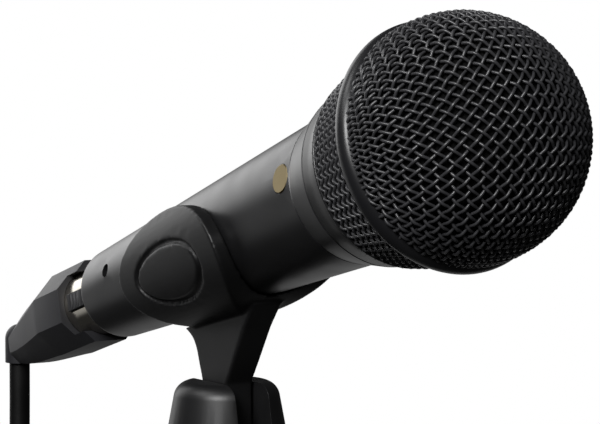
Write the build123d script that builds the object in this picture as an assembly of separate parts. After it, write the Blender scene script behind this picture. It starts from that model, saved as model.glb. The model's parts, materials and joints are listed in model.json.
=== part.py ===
from build123d import *
import math
import os

# A hand-held stage microphone with a ball grille, lying in a tilting stand clip with its lead plugged in.
# Millimetres. +Z is up, +X points towards the head, and the origin is the centre of the stand thread's mouth.
# A station is a distance along the microphone, from the centre of the ball towards the tail.

# Fits
RUN_GAP = 0.05  # shafts and pins that turn or slide in their holes
FIT_GAP = 0.05  # pieces pressed or seated in one another
FREE_GAP = 0.3  # surfaces of pieces that move past each other
OVERCUT = 1.0  # how far a cut runs past the face that it opens
LONG_CUT = 20.0  # the same, where a cut runs right through a sloping wall

# Grille
BALL_RADIUS = 26.5
MESH_THICKNESS = 1.4
DOME_EDGE = 2.5  # the ball runs this far past its own equator
BAND_LENGTH = 4.7
BAND_STAND = 0.5  # how far the band stands proud of the ball
SKIRT_LENGTH = 15.0
SKIRT_TOP_RADIUS = 25.6
COLLAR_LENGTH = 7.5
COLLAR_FLARE = 1.9  # how much wider the collar is at the skirt than at the lock ring
COLLAR_LIP = 1.8
LINER_THICKNESS = 2.4
LINER_GAP = 0.2

# Handle
RING_LENGTH = 9.8
RING_FLARE = 2.8  # how much wider the lock ring is at the collar than at the handle
HANDLE_TOP_RADIUS = 17.4
HANDLE_LENGTH = 117.0
HANDLE_WALL = 2.0
TAIL_WALL = 2.45  # round the socket's insert at the tail
SPIGOT_WALL = 1.8
SPIGOT_STEP = 1.0  # how far the spigot is inside the handle's top radius
TAIL_ROUND = 2.5
SEAM_CHAMFER = 0.3
BADGE_RADIUS = 3.2
BADGE_STATION = 4.2  # behind the top of the handle
BADGE_ANGLE = 11.0  # above the side that faces -Y
BADGE_THICKNESS = 0.45
BADGE_RIM = 0.15
TAIL_SCREW_SETBACK = 17.5  # ahead of the tail
TAIL_SCREW_ANGLE = 14.0
TAIL_SCREW_HOLE_RADIUS = 1.75
TAIL_SCREW_RADIUS = 1.45
TAIL_SCREW_DEPTH = 3.5
TAIL_SCREW_HEAD = 1.2  # how far the screw stands out of the insert
TAIL_SCREW_SLOT = (4.0, 0.6, 0.7)

# Capsule
CAPSULE_RADIUS = 13.4
CAPSULE_FRONT = -6.0
CAPSULE_LENGTH = 22.0
CAPSULE_WALL = 1.2
CAPSULE_NECK_RADIUS = 8.4
CAPSULE_NECK_LENGTH = 22.0
MOUNT_LENGTH = 9.0
MAGNET_RADIUS = 5.4
MAGNET_LENGTH = 8.0
POLE_LENGTH = 2.4
POLE_RADIUS = 5.6
YOKE_WALL = 2.2
VOICE_GAP = 0.5
VOICE_COIL_WALL = 0.6
VOICE_COIL_LENGTH = 5.0
VOICE_COIL_STAND = 3.0  # how far the coil stands out of the yoke
DIAPHRAGM_THICKNESS = 0.25
DIAPHRAGM_RISE = 2.0
DIAPHRAGM_EDGE_GAP = 0.6
CAP_HOLE_RADIUS = 1.2
CAP_HOLE_COUNT = 8
CAP_HOLE_RINGS = (4.3, 8.8)
BOARD_THICKNESS = 1.2
WIRE_RADIUS = 0.5
WIRE_SPACING = 2.2

# Three-pin connectors
SOCKET_RADIUS = 8.1
SOCKET_DEPTH = 15.5
INSERT_WALL = 1.4
INSERT_FLOOR = 6.0
PIN_RADIUS = 1.2
PIN_CIRCLE = 4.1
PIN_LENGTH = 12.5
PIN_TAIL = 4.0
PIN_COUNT = 3
NOSE_GAP = 0.3  # round the plug's nose in the socket
NOSE_SETBACK = 1.5  # between the plug's nose and the socket's floor
NOSE_WALL = 0.8
CONTACT_RADIUS = 1.75
CONTACT_LENGTH = 14.0
CONTACT_TAIL = 4.0
CONTACT_SETBACK = 0.6

# Plug on the microphone
SHELL_SHOULDER = 1.8  # how far the shell stands outside its nose
SHELL_LENGTH = 32.0
SHELL_CHAMFER = 0.5
PLUG_INSERT_DEPTH = 4.2  # how far the insert runs into the shell
SHELL_STANDOFF = 0.8  # between the microphone's tail and the shell's shoulder
HOUSING_WALL = 1.5  # over the shell at the middle of each flat
WINDOW_SETBACK = 14.0  # from the tail to the rear edge of the housing's side windows
PRONG_LENGTH = 5.6
PRONG_THICKNESS = 3.0
HOUSING_STRAIGHT = 0.30  # the share of the way from the windows to the elbow that is parallel
HOUSING_SHOULDER = (0.55, 0.84, 0.76, 0.09)  # that share, then height, width and drop as shares of the mouth's
HOUSING_WAIST = (0.78, 0.68, 0.56, 0.16)
HOUSING_END = (0.97, 0.47, 0.39, 0.20)
CHUCK_ROOM = 12.0
ELBOW_SETBACK = 65.5  # from the tail to where the lead turns down
BOSS_RADIUS = 4.2
BOSS_LENGTH = 7.0
LATCH_LENGTH = 9.0
LATCH_SETBACK = 1.0
LATCH_STEPS = 3
LATCH_STEP_WIDTH = 0.7
LATCH_STEP_DEPTH = 0.35
LATCH_WIDTH = 4.6
LATCH_STAND = 0.7
LATCH_TRAVEL = 1.2
LATCH_THICKNESS = 1.9

# Clip and stand base
MIC_TILT = 16.0
GRIP_STATION = 98.0
BASE_HEIGHT = 44.0
BASE_RADIUS = 16.4
BASE_TOP_RADIUS = 12.3
BASE_SHOULDER = 22.0
BASE_ROUND = 4.2
NECK_RISE = 33.0  # from the top of the base up to the microphone's axis
PIVOT_HEIGHT = 24.0
LUG_RADIUS = 6.0
LUG_HALF_WIDTH = 3.7
NECK_SWELL = 0.3  # how much thicker the neck is on each side at the cradle
NECK_FOOT_HALF = 5.9
NECK_TOP_HALF = 11.9
NECK_TOP_DROP = 2.5  # how far under the cradle the neck's rear edge starts to flare
NECK_TOP_RISE = 1.5  # how far over the cradle's underside its front edge starts to flare
NECK_LEAN = 2.5
NECK_BLEND = 8.0
NECK_FLARE = 2.0
NECK_FLARE_RISE = 3.0
NECK_ROOT = 12.0  # how far the neck's parallel stretch runs up into the cradle
SLOT_FLOOR = 17.0
WASHER_THICKNESS = 0.8
WASHER_RADIUS = 5.4
BOLT_RADIUS = 2.0
BOLT_HEAD_STAND = 1.6  # how far the head stands outside the shank
BOLT_HEAD_LENGTH = 3.2
BOLT_SOCKET_RADIUS = 1.5
BOLT_SOCKET_DEPTH = 1.8
NUT_WALL = 1.5
CHEEK_WALL = 5.6  # from the slot to the bolt head's seat
HEAD_GAP = 0.7  # round the bolt's head in its pocket
FOOT_CHAMFER = 1.0
CLIP_WALL = 3.6
EAR_LENGTH = 51.6
EAR_HEIGHT = 28.8
EAR_DROP = 5.2
PAD_LENGTH = 31.0
PAD_HEIGHT = 12.2
PAD_DROP = 5.9
PAD_GROOVE_WIDTH = 1.3
PAD_GROOVE_DEPTH = 0.9
THREAD_RADIUS = 7.43  # minor radius of a 5/8-27 stand thread
THREAD_LENGTH = 13.0
THREAD_WALL = 2.02
INSERT_FLANGE_STAND = 1.45
INSERT_FLANGE_LENGTH = 1.2

# Lead
LEAD_RADIUS = 3.0
LEAD_GAP = 0.1  # round the lead in the bores that it passes through
LEAD_GRIP = 0.5
TABLE_LEVEL = -110.0  # the surface that the lead lies on, under the clip's stand
COIL_INNER_RADIUS = 21.0
COIL_OUTER_RADIUS = 45.0
COIL_HEIGHT = 23.4
COIL_CENTRE = (-79.4, -38.0)
COIL_ROUND = 3.0
TIE_WIDTH = 14.0
TIE_THICKNESS = 1.2
TIE_ANGLE = -60.0
DROP_START = 40.0
DROP_ROUTE = [
    (-119.4, 0.0, -6.0),
    (-119.9, -3.0, -50.0),
    (-119.8, -11.0, -71.0),
    (-119.5, -26.0, -85.0),
    (-118.9, -44.0, -89.6),
]
TAIL_ROUTE = [
    (-38.2, -32.0, -107.0),
    (-37.2, -19.5, -107.0),
    (-37.8, -6.0, -107.0),
    (-42.4, 6.2, -107.0),
    (-51.7, 15.5, -106.2),
    (-63.8, 20.5, -103.5),
    (-76.0, 20.5, -100.5),
]

# Plug at the lead's far end
FAR_BOOT_LENGTH = 20.0
FAR_BOOT_TIP_RADIUS = 4.2
FAR_BOOT_RADIUS = 7.2
FAR_FLANGE_LENGTH = 3.0
FAR_FLANGE_RADIUS = 9.2
FAR_COLLAR_LENGTH = 7.0
FAR_SHELL_WALL = 1.4
FAR_SHELL_LENGTH = 46.0
FAR_INSERT_LENGTH = 7.0
FAR_MOUTH_DEPTH = 19.0
FAR_CHUCK_LENGTH = 8.0
FAR_CHUCK_RADIUS = 6.5
FAR_CHUCK_SLITS = 4
FAR_CHUCK_SLIT = 1.0
FAR_CHUCK_RING = 2.0  # the part of the chuck that isn't slit
FAR_PIN_TAIL = 1.0
FAR_PLUG_START = 4.0  # how far the boot runs back over the lead's end

# Stations and places that follow from the sizes above
SOCKET_WALL_RADIUS = SOCKET_RADIUS + INSERT_WALL
NOSE_RADIUS = SOCKET_RADIUS - NOSE_GAP
NOSE_BORE = NOSE_RADIUS - NOSE_WALL
SHELL_RADIUS = NOSE_RADIUS + SHELL_SHOULDER
HOUSING_APOTHEM = SHELL_RADIUS + FIT_GAP + HOUSING_WALL
PRONG_HALF_GAP = HOUSING_APOTHEM - PRONG_THICKNESS
FAR_SHELL_RADIUS = SOCKET_RADIUS + FAR_SHELL_WALL
HANDLE_TAIL_RADIUS = SOCKET_WALL_RADIUS + FIT_GAP + TAIL_WALL
COLLAR_END_RADIUS = HANDLE_TOP_RADIUS + RING_FLARE
COLLAR_TOP_RADIUS = COLLAR_END_RADIUS + COLLAR_FLARE
NECK_HALF_WIDTH = LUG_HALF_WIDTH + NECK_SWELL
BOLT_HEAD_RADIUS = BOLT_RADIUS + BOLT_HEAD_STAND
CHEEK_POCKET_RADIUS = BOLT_HEAD_RADIUS + HEAD_GAP
NUT_ACROSS_FLATS = 2 * (BOLT_RADIUS + NUT_WALL)
INSERT_BODY_RADIUS = THREAD_RADIUS + THREAD_WALL
INSERT_FLANGE_RADIUS = INSERT_BODY_RADIUS + INSERT_FLANGE_STAND
BAND_END = DOME_EDGE + BAND_LENGTH
SKIRT_END = BAND_END + SKIRT_LENGTH
COLLAR_END = SKIRT_END + COLLAR_LENGTH
HANDLE_START = COLLAR_END + RING_LENGTH
TAIL = HANDLE_START + HANDLE_LENGTH
SPIGOT_START = SKIRT_END + COLLAR_LIP
SPIGOT_RADIUS = HANDLE_TOP_RADIUS - SPIGOT_STEP
CAPSULE_END = CAPSULE_FRONT + CAPSULE_LENGTH
CAPSULE_TAIL = CAPSULE_END + CAPSULE_NECK_LENGTH
SOCKET_FLOOR = TAIL - SOCKET_DEPTH
INSERT_START = SOCKET_FLOOR - INSERT_FLOOR
SHELL_START = TAIL + SHELL_STANDOFF
SHELL_END = SHELL_START + SHELL_LENGTH
NOSE_START = SOCKET_FLOOR + NOSE_SETBACK
WINDOW_STATION = TAIL + WINDOW_SETBACK
ELBOW_STATION = TAIL + ELBOW_SETBACK
SLOT_HALF = LUG_HALF_WIDTH + WASHER_THICKNESS + 2 * RUN_GAP
CHEEK_SEAT = SLOT_HALF + CHEEK_WALL
AXIS_HEIGHT = BASE_HEIGHT + NECK_RISE
TILT = math.radians(MIC_TILT)
BALL_X = GRIP_STATION * math.cos(TILT)
BALL_Z = AXIS_HEIGHT + GRIP_STATION * math.sin(TILT)
ON_MIC = Location((BALL_X, 0, BALL_Z), (0, -90 - MIC_TILT, 0))
LEAD_X = BALL_X - ELBOW_STATION * math.cos(TILT)
ELBOW_Z = BALL_Z - ELBOW_STATION * math.sin(TILT)
FAR_END = TAIL_ROUTE[-1]
ON_FAR_PLUG = Location((FAR_END[0] + FAR_PLUG_START, FAR_END[1], TABLE_LEVEL + FAR_SHELL_RADIUS), (0, -90, 0))

parts = {}


def keep(name, *solids, place=None):
    """Store a node's solids, moved from their own frame to the shared one."""
    moved = [place * solid if place else solid for solid in solids]
    parts[name] = moved[0] if len(moved) == 1 else Compound(children=moved)


def turned(*corners):
    """A solid turned about Z from its (radius, height) corners."""
    outline = make_face(Plane.XZ * Polyline(*corners, close=True))
    return revolve(outline, Axis.Z, 360)


def rod(radius, start, end, x=0.0, y=0.0):
    """A round bar along Z from start to end."""
    return Pos(x, y, (start + end) / 2) * Cylinder(radius, end - start)


def tube(outer, inner, start, end):
    """A round pipe along Z."""
    return rod(outer, start, end) - rod(inner, start - OVERCUT, end + OVERCUT)


def cross_rod(radius, start, end, x=0.0, z=0.0):
    """A round bar along Y from start to end."""
    return Pos(x, (start + end) / 2, z) * Rot(90, 0, 0) * Cylinder(radius, end - start)


def slab(x_span, y_span, z_span):
    """A block between two corners."""
    spans = (x_span, y_span, z_span)
    middle = [(low + high) / 2 for low, high in spans]
    return Pos(*middle) * Box(*(high - low for low, high in spans))


def around(angle, radius):
    """The point at an angle on a circle about Z."""
    turn = math.radians(angle)
    return radius * math.cos(turn), radius * math.sin(turn)


def pin_places():
    """Where a three-pin connector's pins stand."""
    return [around(90 + 360 * index / PIN_COUNT, PIN_CIRCLE) for index in range(PIN_COUNT)]


def handle_radius(station):
    """The handle's outer radius, which tapers evenly to the tail."""
    share = (station - HANDLE_START) / HANDLE_LENGTH
    return HANDLE_TOP_RADIUS + share * (HANDLE_TAIL_RADIUS - HANDLE_TOP_RADIUS)


def cone_along(offset, start, end):
    """A solid cone that follows the handle's taper, offset outwards."""
    return turned((0, start), (handle_radius(start) + offset, start), (handle_radius(end) + offset, end), (0, end))


def side_frame(angle):
    """A frame on the axis whose Z points out at an angle above the -Y side."""
    return Rot(0, 0, -90 + angle) * Rot(0, 90, 0)


# Grille ---------------------------------------------------------------------------------------------


def ball_shell(outer, thickness, end):
    """A hollow ball, cut off square at a station past its equator."""
    ball = Sphere(outer) - Sphere(outer - thickness)
    return ball - slab((-2 * outer, 2 * outer), (-2 * outer, 2 * outer), (end, 2 * outer))


def grille_dome():
    return ball_shell(BALL_RADIUS, MESH_THICKNESS, DOME_EDGE)


def grille_band():
    outer = BALL_RADIUS + BAND_STAND
    inner = SKIRT_TOP_RADIUS - MESH_THICKNESS
    band = tube(outer, inner, DOME_EDGE, BAND_END)
    rims = band.edges().filter_by(GeomType.CIRCLE).group_by(SortBy.RADIUS)[-1]
    return fillet(rims, BAND_LENGTH * 0.3)


def grille_skirt():
    return turned(
        (SKIRT_TOP_RADIUS - MESH_THICKNESS, BAND_END),
        (SKIRT_TOP_RADIUS, BAND_END),
        (COLLAR_TOP_RADIUS, SKIRT_END),
        (COLLAR_TOP_RADIUS - MESH_THICKNESS, SKIRT_END),
    )


def grille_collar():
    bore = SPIGOT_RADIUS + RUN_GAP
    collar = turned(
        (COLLAR_TOP_RADIUS - MESH_THICKNESS, SKIRT_END),
        (COLLAR_TOP_RADIUS, SKIRT_END),
        (COLLAR_END_RADIUS, COLLAR_END),
        (bore, COLLAR_END),
        (bore, SPIGOT_START),
        (COLLAR_TOP_RADIUS - MESH_THICKNESS, SPIGOT_START),
    )
    seam = collar.edges().filter_by(GeomType.CIRCLE).group_by(Axis.Z)[-1].sort_by(SortBy.RADIUS)[-1]
    return chamfer(seam, SEAM_CHAMFER)


def foam_liner():
    outer = BALL_RADIUS - MESH_THICKNESS - LINER_GAP
    skirt_outer = COLLAR_TOP_RADIUS - MESH_THICKNESS - LINER_GAP
    dome = ball_shell(outer, LINER_THICKNESS, DOME_EDGE)
    outer_edge = math.sqrt(outer**2 - DOME_EDGE**2)
    inner_edge = math.sqrt((outer - LINER_THICKNESS) ** 2 - DOME_EDGE**2)
    upper = min(outer_edge, SKIRT_TOP_RADIUS - MESH_THICKNESS - LINER_GAP)
    skirt = turned(
        (inner_edge, DOME_EDGE),
        (upper, DOME_EDGE),
        (upper, BAND_END),
        (skirt_outer, SKIRT_END - LINER_GAP),
        (skirt_outer - LINER_THICKNESS, SKIRT_END - LINER_GAP),
        (upper - LINER_THICKNESS, BAND_END),
    )
    return dome + skirt


# Handle ---------------------------------------------------------------------------------------------


def lock_ring():
    ring = turned(
        (SPIGOT_RADIUS + FIT_GAP, COLLAR_END),
        (COLLAR_END_RADIUS, COLLAR_END),
        (HANDLE_TOP_RADIUS, HANDLE_START),
        (SPIGOT_RADIUS + FIT_GAP, HANDLE_START),
    )
    rims = [
        edges.sort_by(SortBy.RADIUS)[-1]
        for edges in ring.edges().filter_by(GeomType.CIRCLE).group_by(Axis.Z)
    ]
    return chamfer(rims, SEAM_CHAMFER)


def handle():
    bore_end = handle_radius(INSERT_START) - HANDLE_WALL
    body = cone_along(0, HANDLE_START, TAIL)
    body = fillet(body.edges().filter_by(GeomType.CIRCLE).group_by(Axis.Z)[-1], TAIL_ROUND)
    body = chamfer(body.edges().filter_by(GeomType.CIRCLE).group_by(Axis.Z)[0], SEAM_CHAMFER)
    body = body + rod(SPIGOT_RADIUS, SPIGOT_START, HANDLE_START + OVERCUT)
    bore = turned(
        (0, SPIGOT_START - OVERCUT),
        (SPIGOT_RADIUS - SPIGOT_WALL, SPIGOT_START - OVERCUT),
        (SPIGOT_RADIUS - SPIGOT_WALL, HANDLE_START),
        (bore_end, INSERT_START),
        (SOCKET_WALL_RADIUS + FIT_GAP, INSERT_START),
        (SOCKET_WALL_RADIUS + FIT_GAP, TAIL + OVERCUT),
        (0, TAIL + OVERCUT),
    )
    body = body - bore
    body = body - badge_pocket()
    return body - tail_screw_bore(TAIL_SCREW_HOLE_RADIUS)


def badge_place():
    """The badge's frame: Z points out of the handle, and its origin is on the microphone's axis."""
    return Pos(0, 0, HANDLE_START + BADGE_STATION) * side_frame(BADGE_ANGLE)


def badge_floor():
    """The flat that the badge sits on, a badge's thickness under the handle's surface at its middle."""
    return handle_radius(HANDLE_START + BADGE_STATION) - BADGE_THICKNESS


def badge_pocket():
    return badge_place() * rod(BADGE_RADIUS + BADGE_RIM, badge_floor(), HANDLE_TOP_RADIUS + OVERCUT)


def badge():
    disc = rod(BADGE_RADIUS, badge_floor(), badge_floor() + BADGE_THICKNESS)
    top = disc.edges().filter_by(GeomType.CIRCLE).group_by(Axis.Z)[-1]
    return badge_place() * chamfer(top, BADGE_RIM)


def tail_screw_place():
    return Pos(0, 0, TAIL - TAIL_SCREW_SETBACK) * side_frame(TAIL_SCREW_ANGLE)


def tail_screw_bore(radius):
    deep = SOCKET_WALL_RADIUS - TAIL_SCREW_DEPTH
    return tail_screw_place() * rod(radius, deep, HANDLE_TOP_RADIUS)


def tail_screw():
    start = SOCKET_WALL_RADIUS - TAIL_SCREW_DEPTH + FIT_GAP
    top = start + TAIL_SCREW_DEPTH + TAIL_SCREW_HEAD
    screw = rod(TAIL_SCREW_RADIUS, start, top)
    length, width, depth = TAIL_SCREW_SLOT
    slot = slab((-length / 2, length / 2), (-width / 2, width / 2), (top - depth, top + OVERCUT))
    return tail_screw_place() * (screw - slot)


def xlr_insert():
    cup = rod(SOCKET_WALL_RADIUS, INSERT_START, TAIL - TAIL_ROUND)
    cup = cup - rod(SOCKET_RADIUS, SOCKET_FLOOR, TAIL)
    for x, y in pin_places():
        cup = cup - rod(PIN_RADIUS + FIT_GAP, INSERT_START - OVERCUT, TAIL, x, y)
    return cup - tail_screw_bore(TAIL_SCREW_RADIUS + FIT_GAP)


def xlr_pins():
    pins = []
    for x, y in pin_places():
        pin = rod(PIN_RADIUS, INSERT_START - PIN_TAIL, SOCKET_FLOOR + PIN_LENGTH, x, y)
        tip = pin.edges().filter_by(GeomType.CIRCLE).group_by(Axis.Z)[-1]
        pins.append(fillet(tip, PIN_RADIUS * 0.6))
    return pins


# Capsule --------------------------------------------------------------------------------------------


def capsule_housing():
    inner = CAPSULE_RADIUS - CAPSULE_WALL
    neck_inner = CAPSULE_NECK_RADIUS - CAPSULE_WALL
    return turned(
        (inner, CAPSULE_FRONT),
        (CAPSULE_RADIUS, CAPSULE_FRONT),
        (CAPSULE_RADIUS, CAPSULE_END),
        (CAPSULE_NECK_RADIUS, CAPSULE_END),
        (CAPSULE_NECK_RADIUS, CAPSULE_TAIL),
        (neck_inner, CAPSULE_TAIL),
        (neck_inner, CAPSULE_END - CAPSULE_WALL),
        (inner, CAPSULE_END - CAPSULE_WALL),
    )


def capsule_cap():
    """The perforated resonator plate in front of the diaphragm."""
    plate = rod(CAPSULE_RADIUS - CAPSULE_WALL - FIT_GAP, CAPSULE_FRONT, CAPSULE_FRONT + CAPSULE_WALL)
    hole = (CAPSULE_FRONT - OVERCUT, CAPSULE_FRONT + CAPSULE_WALL + OVERCUT)
    for ring_radius in CAP_HOLE_RINGS:
        for index in range(CAP_HOLE_COUNT):
            x, y = around(360 * index / CAP_HOLE_COUNT, ring_radius)
            plate = plate - rod(CAP_HOLE_RADIUS, *hole, x, y)
    return plate


def magnet_stations():
    """The stations of the yoke's seat, the magnet's ends and the pole piece's front."""
    seat = CAPSULE_END - CAPSULE_WALL
    magnet_end = seat - YOKE_WALL
    magnet_start = magnet_end - MAGNET_LENGTH
    return seat, magnet_end, magnet_start, magnet_start - POLE_LENGTH


def yoke():
    seat, magnet_end, _, pole_front = magnet_stations()
    inner = POLE_RADIUS + 2 * VOICE_GAP + VOICE_COIL_WALL
    return turned(
        (0, seat),
        (inner + YOKE_WALL, seat),
        (inner + YOKE_WALL, pole_front),
        (inner, pole_front),
        (inner, magnet_end),
        (0, magnet_end),
    )


def magnet():
    _, magnet_end, magnet_start, _ = magnet_stations()
    return rod(MAGNET_RADIUS, magnet_start, magnet_end)


def pole_piece():
    _, _, magnet_start, pole_front = magnet_stations()
    return rod(POLE_RADIUS, pole_front, magnet_start)


def voice_coil():
    inner = POLE_RADIUS + VOICE_GAP
    front = magnet_stations()[3] - VOICE_COIL_STAND
    return tube(inner + VOICE_COIL_WALL, inner, front, front + VOICE_COIL_LENGTH)


def diaphragm():
    back = magnet_stations()[3] - VOICE_COIL_STAND
    front = back - DIAPHRAGM_THICKNESS
    edge = CAPSULE_RADIUS - CAPSULE_WALL - DIAPHRAGM_EDGE_GAP
    dome_radius = POLE_RADIUS + VOICE_GAP
    flat = tube(edge, dome_radius, front, back)
    ball = (dome_radius**2 + DIAPHRAGM_RISE**2) / (2 * DIAPHRAGM_RISE)
    dome = Sphere(ball) - Sphere(ball - DIAPHRAGM_THICKNESS)
    dome = Pos(0, 0, front - DIAPHRAGM_RISE + ball) * dome
    return flat + (dome & rod(dome_radius, front - DIAPHRAGM_RISE - OVERCUT, back))


def shock_mount():
    inner = CAPSULE_NECK_RADIUS + FIT_GAP
    outer = SPIGOT_RADIUS - SPIGOT_WALL - FIT_GAP
    flange = CAPSULE_RADIUS
    return turned(
        (inner, CAPSULE_END),
        (flange, CAPSULE_END),
        (flange, SPIGOT_START),
        (outer, SPIGOT_START),
        (outer, SPIGOT_START + MOUNT_LENGTH),
        (inner, SPIGOT_START + MOUNT_LENGTH),
    )


def terminal_board():
    board = rod(CAPSULE_NECK_RADIUS, CAPSULE_TAIL, CAPSULE_TAIL + BOARD_THICKNESS)
    hole = (CAPSULE_TAIL - OVERCUT, CAPSULE_TAIL + BOARD_THICKNESS + OVERCUT)
    for side in (-1, 1):
        board = board - rod(WIRE_RADIUS + FIT_GAP, *hole, 0, side * WIRE_SPACING)
    return board


def signal_wires():
    start = CAPSULE_TAIL + FIT_GAP
    return [rod(WIRE_RADIUS, start, INSERT_START, 0, side * WIRE_SPACING) for side in (-1, 1)]


# Plug on the microphone ------------------------------------------------------------------------------


def latch_slot(gap):
    """The room that the latch and its hook take in the shell, on the -Y side."""
    half = LATCH_WIDTH / 2 + gap
    start = SHELL_START + LATCH_SETBACK
    return slab(
        (-half, half),
        (-SHELL_RADIUS - OVERCUT, -SHELL_RADIUS + LATCH_THICKNESS + LATCH_TRAVEL + gap),
        (start - gap, start + LATCH_LENGTH + gap),
    )


def plug_shell():
    shell = turned(
        (NOSE_BORE, NOSE_START),
        (NOSE_RADIUS, NOSE_START),
        (NOSE_RADIUS, SHELL_START),
        (SHELL_RADIUS, SHELL_START),
        (SHELL_RADIUS, SHELL_END),
        (NOSE_BORE, SHELL_END),
    )
    rims = shell.edges().filter_by(GeomType.CIRCLE).filter_by_position(Axis.Z, SHELL_START - 0.1, SHELL_START + 0.1)
    shell = chamfer(rims.sort_by(SortBy.RADIUS)[-1], SHELL_CHAMFER)
    return shell - latch_slot(FREE_GAP)


def plug_insert():
    body = rod(NOSE_BORE - FIT_GAP, NOSE_START, SHELL_START + PLUG_INSERT_DEPTH)
    body = body - latch_slot(FREE_GAP)
    for x, y in pin_places():
        body = body - rod(CONTACT_RADIUS + FIT_GAP, NOSE_START - OVERCUT, SHELL_END, x, y)
    return body


def plug_contacts():
    start = NOSE_START + CONTACT_SETBACK
    contacts = []
    for x, y in pin_places():
        barrel = rod(CONTACT_RADIUS, start, start + CONTACT_LENGTH + CONTACT_TAIL, x, y)
        contacts.append(barrel - rod(PIN_RADIUS + RUN_GAP, start - OVERCUT, start + CONTACT_LENGTH, x, y))
    return contacts


def latch():
    """The spring button that locks the plug, with grip steps across it."""
    half = LATCH_WIDTH / 2
    start = SHELL_START + LATCH_SETBACK
    top = -SHELL_RADIUS - LATCH_STAND
    button = slab(
        (-half, half),
        (top, -SHELL_RADIUS + LATCH_THICKNESS),
        (start, start + LATCH_LENGTH),
    )
    for step in range(LATCH_STEPS):
        at = start + LATCH_LENGTH * (step + 1.5) / (LATCH_STEPS + 2)
        span = (at - LATCH_STEP_WIDTH / 2, at + LATCH_STEP_WIDTH / 2)
        button = button - slab((-half, half), (top - OVERCUT, top + LATCH_STEP_DEPTH), span)
    return button


def octagon(half_height, half_width, station, drop):
    """An eight-sided section of the plug's housing, with flats above, below and at the sides."""
    turns = [math.radians(22.5 + 45 * index) for index in range(8)]
    reach = 1 / math.cos(math.radians(22.5))
    corners = [
        (half_height * reach * math.cos(turn) - drop, half_width * reach * math.sin(turn), station)
        for turn in turns
    ]
    return make_face(Polyline(*corners, close=True))


def plug_housing():
    elbow = ELBOW_SETBACK - WINDOW_SETBACK
    full = HOUSING_APOTHEM
    mouth = octagon(full, full, WINDOW_STATION, 0)
    sections = [octagon(full, full, WINDOW_STATION + HOUSING_STRAIGHT * elbow, 0)]
    for way, height, width, drop in (HOUSING_SHOULDER, HOUSING_WAIST, HOUSING_END):
        sections.append(octagon(height * full, width * full, WINDOW_STATION + way * elbow, drop * full))
    body = extrude(mouth, HOUSING_STRAIGHT * elbow) + loft(sections)
    prongs = extrude(Pos(0, 0, -PRONG_LENGTH) * mouth, PRONG_LENGTH)
    gap = full + OVERCUT
    prongs = prongs - slab((-PRONG_HALF_GAP, PRONG_HALF_GAP), (-gap, gap), (TAIL, WINDOW_STATION))
    body = ON_MIC * (body + prongs)
    body = body + elbow_boss(BOSS_RADIUS)
    bore = rod(SHELL_RADIUS + FIT_GAP, TAIL, SHELL_END) + rod(LEAD_RADIUS * 2, SHELL_END, SHELL_END + CHUCK_ROOM)
    body = body - ON_MIC * bore
    return body - rod(LEAD_RADIUS + LEAD_GAP, ELBOW_Z - LONG_CUT, ELBOW_Z + LEAD_GRIP, LEAD_X, 0)


def elbow_boss(radius):
    """The rounded end of the housing that turns the lead straight down."""
    low = ELBOW_Z - BOSS_LENGTH
    return rod(radius, low, ELBOW_Z, LEAD_X, 0) + Pos(LEAD_X, 0, ELBOW_Z) * Sphere(radius)


# Clip and stand base -----------------------------------------------------------------------------------


def ear_ellipse(length, height, drop, margin=0.0):
    """An oval across both ears, drawn on the microphone's upright plane and dropped below its axis."""
    oval = Ellipse(height / 2 + margin, length / 2 + margin)
    return extrude(Plane.XZ * (Pos(-drop, GRIP_STATION) * oval), 2 * BALL_RADIUS, both=True)


def clip_cradle():
    start = GRIP_STATION - EAR_LENGTH / 2 - OVERCUT
    end = GRIP_STATION + EAR_LENGTH / 2 + OVERCUT
    outer = cone_along(FREE_GAP + CLIP_WALL, start, end)
    inner = cone_along(FREE_GAP, start - LONG_CUT, end + LONG_CUT)
    ears = (outer - inner) & ear_ellipse(EAR_LENGTH, EAR_HEIGHT, EAR_DROP)
    pad = ear_ellipse(PAD_LENGTH, PAD_HEIGHT, PAD_DROP)
    rim = ear_ellipse(PAD_LENGTH, PAD_HEIGHT, PAD_DROP, PAD_GROOVE_WIDTH) - pad
    groove = rim - cone_along(FREE_GAP + CLIP_WALL - PAD_GROOVE_DEPTH, start - OVERCUT, end + OVERCUT)
    body = ON_MIC * (ears - groove)
    body = body + (neck() - ON_MIC * inner)
    return body - cross_rod(BOLT_RADIUS + RUN_GAP, -LONG_CUT, LONG_CUT, 0, PIVOT_HEIGHT)


def neck():
    """The flat arm from the pivot up to the cradle, which flares where they meet."""
    under = AXIS_HEIGHT - (handle_radius(GRIP_STATION) + FREE_GAP + CLIP_WALL) / math.cos(TILT)
    high = (NECK_LEAN, under - OVERCUT)
    slope = math.tan(TILT)
    flare = NECK_TOP_HALF + NECK_FLARE
    lip = flare + NECK_FLARE_RISE
    corners = [
        (-LUG_RADIUS, PIVOT_HEIGHT),
        (-NECK_FOOT_HALF, BASE_HEIGHT),
        (high[0] - NECK_TOP_HALF, high[1] - NECK_TOP_DROP),
        (high[0] - lip, high[1] + NECK_FLARE_RISE - slope * flare),
        (high[0] + lip, high[1] + NECK_FLARE_RISE + slope * lip),
        (high[0] + NECK_TOP_HALF, high[1] + NECK_TOP_RISE),
        (NECK_FOOT_HALF, BASE_HEIGHT),
        (LUG_RADIUS, PIVOT_HEIGHT),
    ]
    side = make_face(Polyline(*corners, close=True))
    bends = [side.vertices().sort_by_distance((*corners[index], 0))[0] for index in (2, 5)]
    side = fillet(bends, NECK_BLEND)
    arm = extrude(Plane.XZ * side, NECK_HALF_WIDTH, both=True)
    lug = cross_rod(LUG_RADIUS, -NECK_HALF_WIDTH, NECK_HALF_WIDTH, 0, PIVOT_HEIGHT)
    return (arm + lug) & neck_taper(under)


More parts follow.
